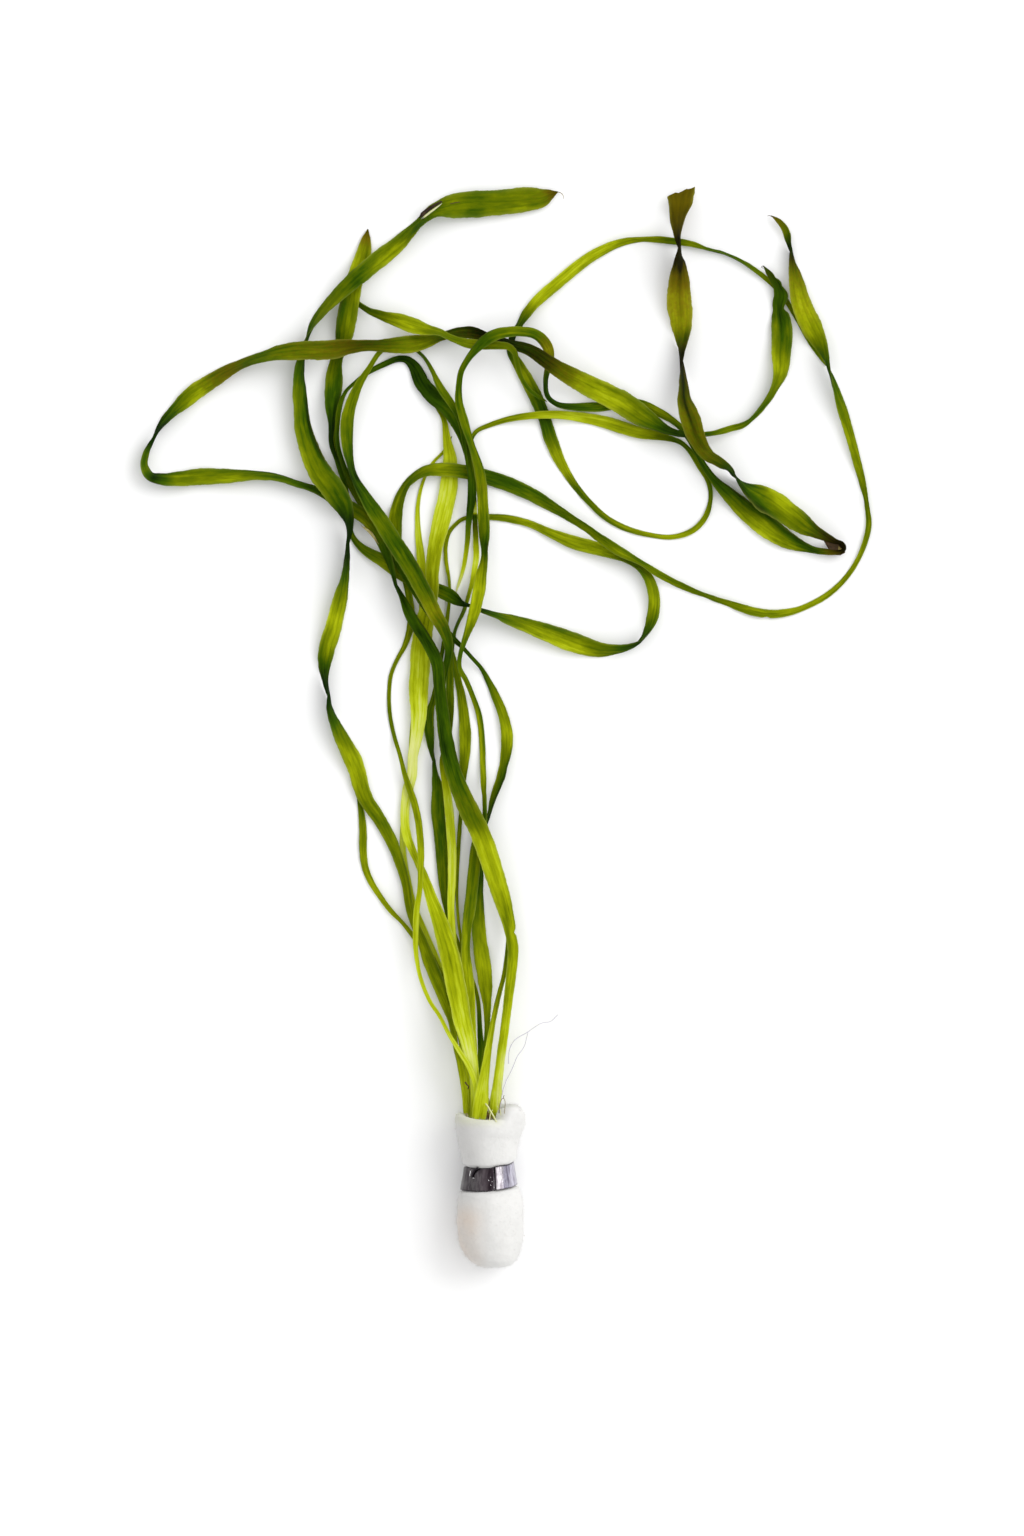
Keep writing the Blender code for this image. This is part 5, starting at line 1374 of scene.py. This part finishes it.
# Fine threads: hair roots, a brown rootlet, wisps at the leaf tips, a brown fleck on the tall
# left leaf and a loose fibre of foam. Each is a path of (sheet x, sheet y, height in mm), then
# its thickness at both ends in mm, then its dye from dark brown 0 through straw 0.6 to pale
# lilac 1.
threads = {
    "sides": 5, "waver": 0.12, "waverLength": 2.5, "spacing": 0.4,
    "paths": [
        ([(499.5, 1114, 14), (500.6, 1102, 14), (502.8, 1090, 12.5), (506, 1080, 11),
          (512, 1068, 9.5), (517, 1056, 8), (524, 1046, 6), (528, 1032, 4.5)], 0.32, 0.24, 1.0),
        ([(508.4, 1063, 8.4), (509, 1052, 7.4), (512, 1043, 6.4), (518, 1037, 5), (528, 1031.5, 4),
          (536, 1026, 3), (542, 1022.7, 2.4), (551, 1021, 1.2), (558, 1014.6, 0.5)],
         0.28, 0.20, 1.0),
        ([(501, 1079, 11), (502, 1086, 12), (502.5, 1092, 13)], 0.16, 0.12, 0.9),
        ([(499, 1113, 16), (499.5, 1104, 17), (501.5, 1097.5, 17.5), (503.8, 1096.2, 17.6),
          (505.2, 1101, 18.0), (504.4, 1111, 18.8)], 0.24, 0.18, 0.32),
        ([(503.4, 1096.5, 17.6), (503.6, 1094.5, 17.8), (504.4, 1093, 18)], 0.22, 0.14, 0.1),
        ([(485.5, 1101, 16), (488, 1104, 17), (491, 1109, 18.2), (494, 1114, 19.2),
          (496.6, 1119, 20)], 0.52, 0.40, 0.72),
        ([(489.6, 1118.5, 19.6), (490.6, 1112, 18.6), (492.6, 1107.5, 17.8)], 0.30, 0.22, 0.68),
        ([(497, 1104, 15.5), (500, 1108, 16.4), (501, 1113, 17.2)], 0.2, 0.2, 0.7),
        ([(557, 192, 0.5), (560.5, 193, 0.9), (563, 195.5, 0.9), (563.6, 199, 0.7)],
         0.26, 0.12, 0.35),
        ([(764, 267.5, 1.2), (762, 266.2, 1.5), (761.3, 267.6, 1.6), (763.2, 268.6, 1.5)],
         0.24, 0.14, 0.1),
        ([(772, 217, 0.7), (769.5, 215.6, 1.0), (767.5, 216, 1.0)], 0.26, 0.14, 0.1),
        ([(449.5, 204.8, 2.7), (452, 204.2, 2.85), (455, 203.4, 2.9), (458, 202.9, 2.9),
          (461.5, 202.2, 2.75)], 0.34, 0.22, 0.18),
        ([(521, 1237, 7.4), (523, 1233.6, 7.6), (525, 1234.8, 7.2)], 0.3, 0.14, 0.95),
        ([(465.5, 1081, 9.2), (467, 1083.5, 9.6), (468.5, 1085, 9.4), (468, 1088, 9)],
         0.5, 0.3, 0.22),
    ],
}


# The hooked nick in the strip's upper edge, with its painted glints, and bright specks by the
# overlap that are painted glints too. Their last number is dark above 0 and a painted glint
# below it.
burrsAndGlints = [
    ([(479, 1165.4, 17.3), (475.6, 1167, 16.9), (473.6, 1169.6, 16.5), (472.6, 1172.4, 16.2),
      (472.4, 1174, 16.1), (474, 1174.2, 16.4)], 0.9, 0.6, 1.15),
    ([(471, 1168.4, 15.7), (470.6, 1171, 15.6), (470.2, 1173.6, 15.6)], 0.34, 0.26, -1.0),
    ([(473.2, 1175.2, 16.3), (474.6, 1175.4, 16.5)], 0.3, 0.2, -1.0),
    ([(488.6, 1177.2, 17.7), (489, 1178, 17.7)], 0.26, 0.2, -1.0),
    ([(490.6, 1174.4, 17.7), (491, 1175, 17.7)], 0.2, 0.16, -0.7),
    ([(492, 1178.4, 17.7), (492.3, 1179, 17.7)], 0.26, 0.2, -1.0),
    ([(490.4, 1182, 17.9), (490.8, 1182.4, 17.9)], 0.2, 0.16, -0.8),
    ([(493.6, 1184, 17.9), (494, 1184.6, 17.9)], 0.22, 0.18, -0.9),
]


def threadTree():
    tree, entry, leave = newTree("fineThreads", "GeometryNodeTree", {
        "Paths": "Geometry", "Sides": 5, "Waver": 0.0001, "Waver Length": 0.003, "Seed": 4.0,
        "Material": "Material"}, {"Geometry": "Geometry"})
    here = put(tree, "GeometryNodeInputPosition")
    place = added(scaled(here, 1.0 / entry["Waver Length"]),
                  joinXyz(entry["Seed"], 0.0, entry["Seed"]))
    drift = added(noiseAt(place, 1.0, 1.0, out=1), (-0.5, -0.5, -0.5))
    moved = put(tree, "GeometryNodeSetPosition", {
        "Geometry": entry["Paths"], "Offset": scaled(drift, entry["Waver"] * 2.0)})
    curve = put(tree, "GeometryNodeMeshToCurve", {"Mesh": moved})
    thick = put(tree, "GeometryNodeInputNamedAttribute", {"Name": "thick"}, data_type="FLOAT")
    tube = put(tree, "GeometryNodeCurveToMesh", {
        "Curve": curve, "Profile Curve": roundProfile(tree, entry["Sides"], 1.0),
        "Scale": thick, "Fill Caps": True})
    smooth = put(tree, "GeometryNodeSetShadeSmooth", {"Geometry": tube, "Shade Smooth": True})
    return paint(tree, entry, leave, smooth)


def roundProfile(tree, sides, radius):
    return put(tree, "GeometryNodeCurvePrimitiveCircle", {"Resolution": sides, "Radius": radius})


# A smooth line through a few places, as evenly spaced points
def smoothLine(places, spacing):
    places = np.array(places, float)
    ends = np.vstack([2 * places[:1] - places[1:2], places, 2 * places[-1:] - places[-2:-1]])
    line = []
    for a, b, c, d in zip(ends, ends[1:], ends[2:], ends[3:]):
        count = max(2, int(np.linalg.norm(c - b) / spacing))
        for t in np.arange(count) / count:
            line.append(0.5 * (2 * b + (c - a) * t + (2 * a - 5 * b + 4 * c - d) * t * t
                               + (3 * b - a - 3 * c + d) * t**3))
    line.append(places[-1])
    return np.array(line)


def inMillimetres(x, y, z=0.0):
    return (*(v / mm for v in onSheet(x, y)), z)


def makeThreads(paths, material, piece, column):
    points, edges, thick, dye = [], [], [], []
    for path, first, last, colour in paths:
        line = smoothLine([inMillimetres(*place) for place in path], threads["spacing"])
        start = len(points)
        points += [Vector(p) * mm for p in line]
        edges += [(start + k, start + k + 1) for k in range(len(line) - 1)]
        thick += list(np.linspace(first, last, len(line)) * mm / 2)
        dye += [colour] * len(line)
    source = pointsMesh("thread_paths", points, edges, {"thick": thick, column: dye})
    made = grow(source, threadPaths, {
        "Sides": threads["sides"], "Waver": threads["waver"] * mm,
        "Waver Length": threads["waverLength"] * mm, "Material": material}, piece)
    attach(made, "root")
    return made


# Scraps of dried leaf: thin curled flakes. Each is an outline on the sheet, its height, how
# much it curls, and its dye.
scraps = {
    "thickness": 0.16, "rough": 0.12, "mottle": 0.12,
    "waves": 0.9, "roughBumps": 2.1, "blots": 0.8,   # how many come in a millimetre
    "curlHeight": 0.4, "curlLow": 0.4,
    "ringShares": (1.0, 0.62, 0.3),   # where the rings of a flake lie, from its rim inwards
    "flakes": [
        # the folded end of the brown tipped leaf
        ([(823, 540), (832, 541), (840, 544), (844.5, 548.5), (845, 553), (840, 555.5),
          (832, 555), (824, 553.5), (828, 549)], 1.5, 0.3, 0.16),
        ([(838, 546), (842, 549), (841.5, 552.5), (838, 551)], 2.1, 0.2, 0.45),
        # the dark sliver folded over the tall left leaf
        ([(418.5, 219), (421, 213.5), (427, 208.5), (434, 204.5), (441, 201.5), (443, 202.2),
          (436, 206.5), (429, 211.5), (423, 217)], 2.6, 0.3, 0.04),
        ([(420.5, 220), (424, 216.5), (430, 211.8), (437, 207), (442.5, 203.6), (438, 208),
          (431, 213.6), (424, 219)], 2.7, 0.1, 0.76),
        # the torn margin of the far loop
        ([(361, 526), (364.5, 527.2), (368.5, 529.6), (372.8, 533), (376.4, 538.6), (379.4, 545.5),
          (375, 540.6), (371, 535.6), (366.6, 531.2)], 4.8, 0.2, 0.50),
        # crumbs among the leaf bases
        ([(486, 1111), (488, 1109), (490, 1113), (490, 1120), (487, 1120)], 14.0, 0.3, 0.24),
        ([(490.5, 1113), (492, 1114.5), (494.5, 1120), (491, 1120.5)], 14.5, 0.3, 0.30),
        ([(487.5, 1098), (489, 1096), (490, 1101), (489, 1106), (487.6, 1104)], 12.6, 0.2, 0.22),
        ([(494, 1114), (496.5, 1116), (498, 1120), (495, 1120)], 14.5, 0.3, 0.2),
        ([(466, 1111), (468, 1112), (469, 1117), (466.5, 1117)], 12.0, 0.2, 0.5),
    ],
}


def makeScraps(material):
    work = bmesh.new()
    dye = work.verts.layers.float.new("dye")
    for number, (outline, height, curl, colour) in enumerate(scraps["flakes"]):
        ring = [Vector(inMillimetres(*place)) for place in outline]
        ring = [a.lerp(b, t) for a, b in zip(ring, ring[1:] + ring[:1]) for t in (0.0, 0.5)]
        middle = sum(ring, Vector()) / len(ring)
        reach = max((spot - middle).length for spot in ring)
        rings = []
        for side, shares in ((0.5, scraps["ringShares"]), (-0.5, scraps["ringShares"][1:])):
            for share in shares:
                row = []
                for spot in ring:
                    place = middle.lerp(spot, share)
                    wave = noise.noise(place * scraps["waves"] + Vector((number * 7, 0, 0)))
                    rough = noise.noise(place * scraps["roughBumps"] + Vector((0, 5, number)))
                    curled = (share ** 2 - scraps["curlLow"]) * reach * scraps["curlHeight"]
                    place.x += rough * scraps["rough"]
                    place.z = height + curl * curled + wave * curl
                    if share < 1.0:
                        place.z += side * scraps["thickness"]
                    row.append(work.verts.new(place * mm))
                rings.append(row)
        rim, over, top, under, low = rings
        stitch(work, [rim, over, top])
        stitch(work, [rim, under, low])
        ends = [closeEnd(work, top), closeEnd(work, low)]
        for vert in [v for row in rings for v in row] + ends:
            vert[dye] = colour + noise.noise(vert.co / mm * scraps["blots"]) * scraps["mottle"]
    piece = meshPiece(work, "dried_scraps", material)
    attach(piece, "root")
    return piece


driedColours = {
    "ramp": [(0.0, (0.020, 0.011, 0.005)), (0.22, (0.090, 0.050, 0.016)),
             (0.45, (0.300, 0.230, 0.060)), (0.70, (0.640, 0.640, 0.300)),
             (1.0, (0.480, 0.460, 0.540))],
    "patches": (0.0012, 0.3, 0.7), "patchTone": 0.12,
    "roughness": 0.6, "shine": 0.2,
}


def driedMaterial():
    material, tree, shader = newMaterial("driedFibre")
    patch = mottled(objectPlace(tree), *driedColours["patches"]) - 0.5
    dye = patch * driedColours["patchTone"] + attribute(tree, "dye")
    fill(shader, {"Base Color": ramp(dye, driedColours["ramp"]),
                  "Roughness": driedColours["roughness"],
                  "Specular IOR Level": driedColours["shine"]})
    return material


dried = driedMaterial()
threadPaths = threadTree()
rootThreads = makeThreads(threads["paths"], dried, "hair_roots", "dye")
makeThreads(burrsAndGlints, metal, "strip_burrs_and_glints", "rim")
flakes = makeScraps(dried)
print("roots and scraps made,", len(rootThreads.data.polygons) + len(flakes.data.polygons),
      "faces")


# Short loose fibres all over the foam
fuzz = {
    "perSquareMetre": 1500000.0, "length": 0.9, "thickness": 0.055, "seed": 3,
    "shortest": 0.35, "tilt": 0.7, "taper": 0.7,
    # the bend of one that is as long as 1, standing on the foam
    "bend": {"Start": (0.0, 0.0, -0.1), "Middle": (0.0, 0.0, 0.7), "End": (0.7, 0.0, 0.9)},
}


def fuzzTree():
    tree, entry, leave = newTree("foamFuzz", "GeometryNodeTree", {
        "Surface": "Geometry", "Density": 1000000.0, "Length": 0.0009, "Thickness": 0.00005,
        "Seed": 3, "Material": "Material"}, {"Geometry": "Geometry"})
    length, seed, tilt = entry["Length"], entry["Seed"], fuzz["tilt"]
    points, _, rotation = outputs(put(tree, "GeometryNodeDistributePointsOnFaces", {
        "Mesh": entry["Surface"], "Density": entry["Density"], "Seed": seed}))
    bend = put(tree, "GeometryNodeCurveQuadraticBezier", {"Resolution": 3, **fuzz["bend"]})
    slim = put(tree, "GeometryNodeSplineParameter") * -fuzz["taper"] + 1.0
    ring = roundProfile(tree, 3, entry["Thickness"] / (length * 2.0))
    strand = put(tree, "GeometryNodeCurveToMesh", {"Curve": bend, "Profile Curve": ring,
                 "Scale": slim, "Fill Caps": True})
    spin = put(tree, "FunctionNodeRandomValue", {"Min": (-tilt, -tilt, 0.0),
               "Max": (tilt, tilt, 6.28), "Seed": seed}, data_type="FLOAT_VECTOR")
    turned = put(tree, "FunctionNodeRotateRotation", {"Rotation": rotation,
                 "Rotate By": put(tree, "FunctionNodeEulerToRotation", {"Euler": spin})},
                 rotation_space="LOCAL")
    size = put(tree, "FunctionNodeRandomValue", {2: fuzz["shortest"], 3: 1.0, "Seed": seed},
               out=1, data_type="FLOAT") * length
    planted = put(tree, "GeometryNodeInstanceOnPoints", {"Points": points, "Instance": strand,
                  "Rotation": turned, "Scale": joinXyz(size, size, size)})
    real = put(tree, "GeometryNodeRealizeInstances", {"Geometry": planted})
    return paint(tree, entry, leave, keepAbove(tree, real))


def makeFuzz(material):
    piece = grow(newObject("fuzz_base", roll.data.copy()), fuzzTree(), {
        "Density": fuzz["perSquareMetre"], "Length": fuzz["length"] * mm,
        "Thickness": fuzz["thickness"] * mm, "Seed": fuzz["seed"], "Material": material},
        "foam_fuzz")
    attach(piece, "root")
    return piece


fuzzPiece = makeFuzz(foam)
print("fuzz made,", len(fuzzPiece.data.polygons), "faces")


crownColours = {"patches": (0.002, 0.35, 0.65), "roughness": 0.6,
                "tones": ((0.42, 0.40, 0.20), (0.55, 0.50, 0.30))}


def crownMaterial():
    material, tree, shader = newMaterial("crown")
    patch = mottled(objectPlace(tree), *crownColours["patches"])
    fill(shader, {"Base Color": blendColour(patch, *crownColours["tones"]),
                  "Roughness": crownColours["roughness"]})
    return material


crownPaint = crownMaterial()
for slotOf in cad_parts["crown"].material_slots:
    slotOf.material = crownPaint
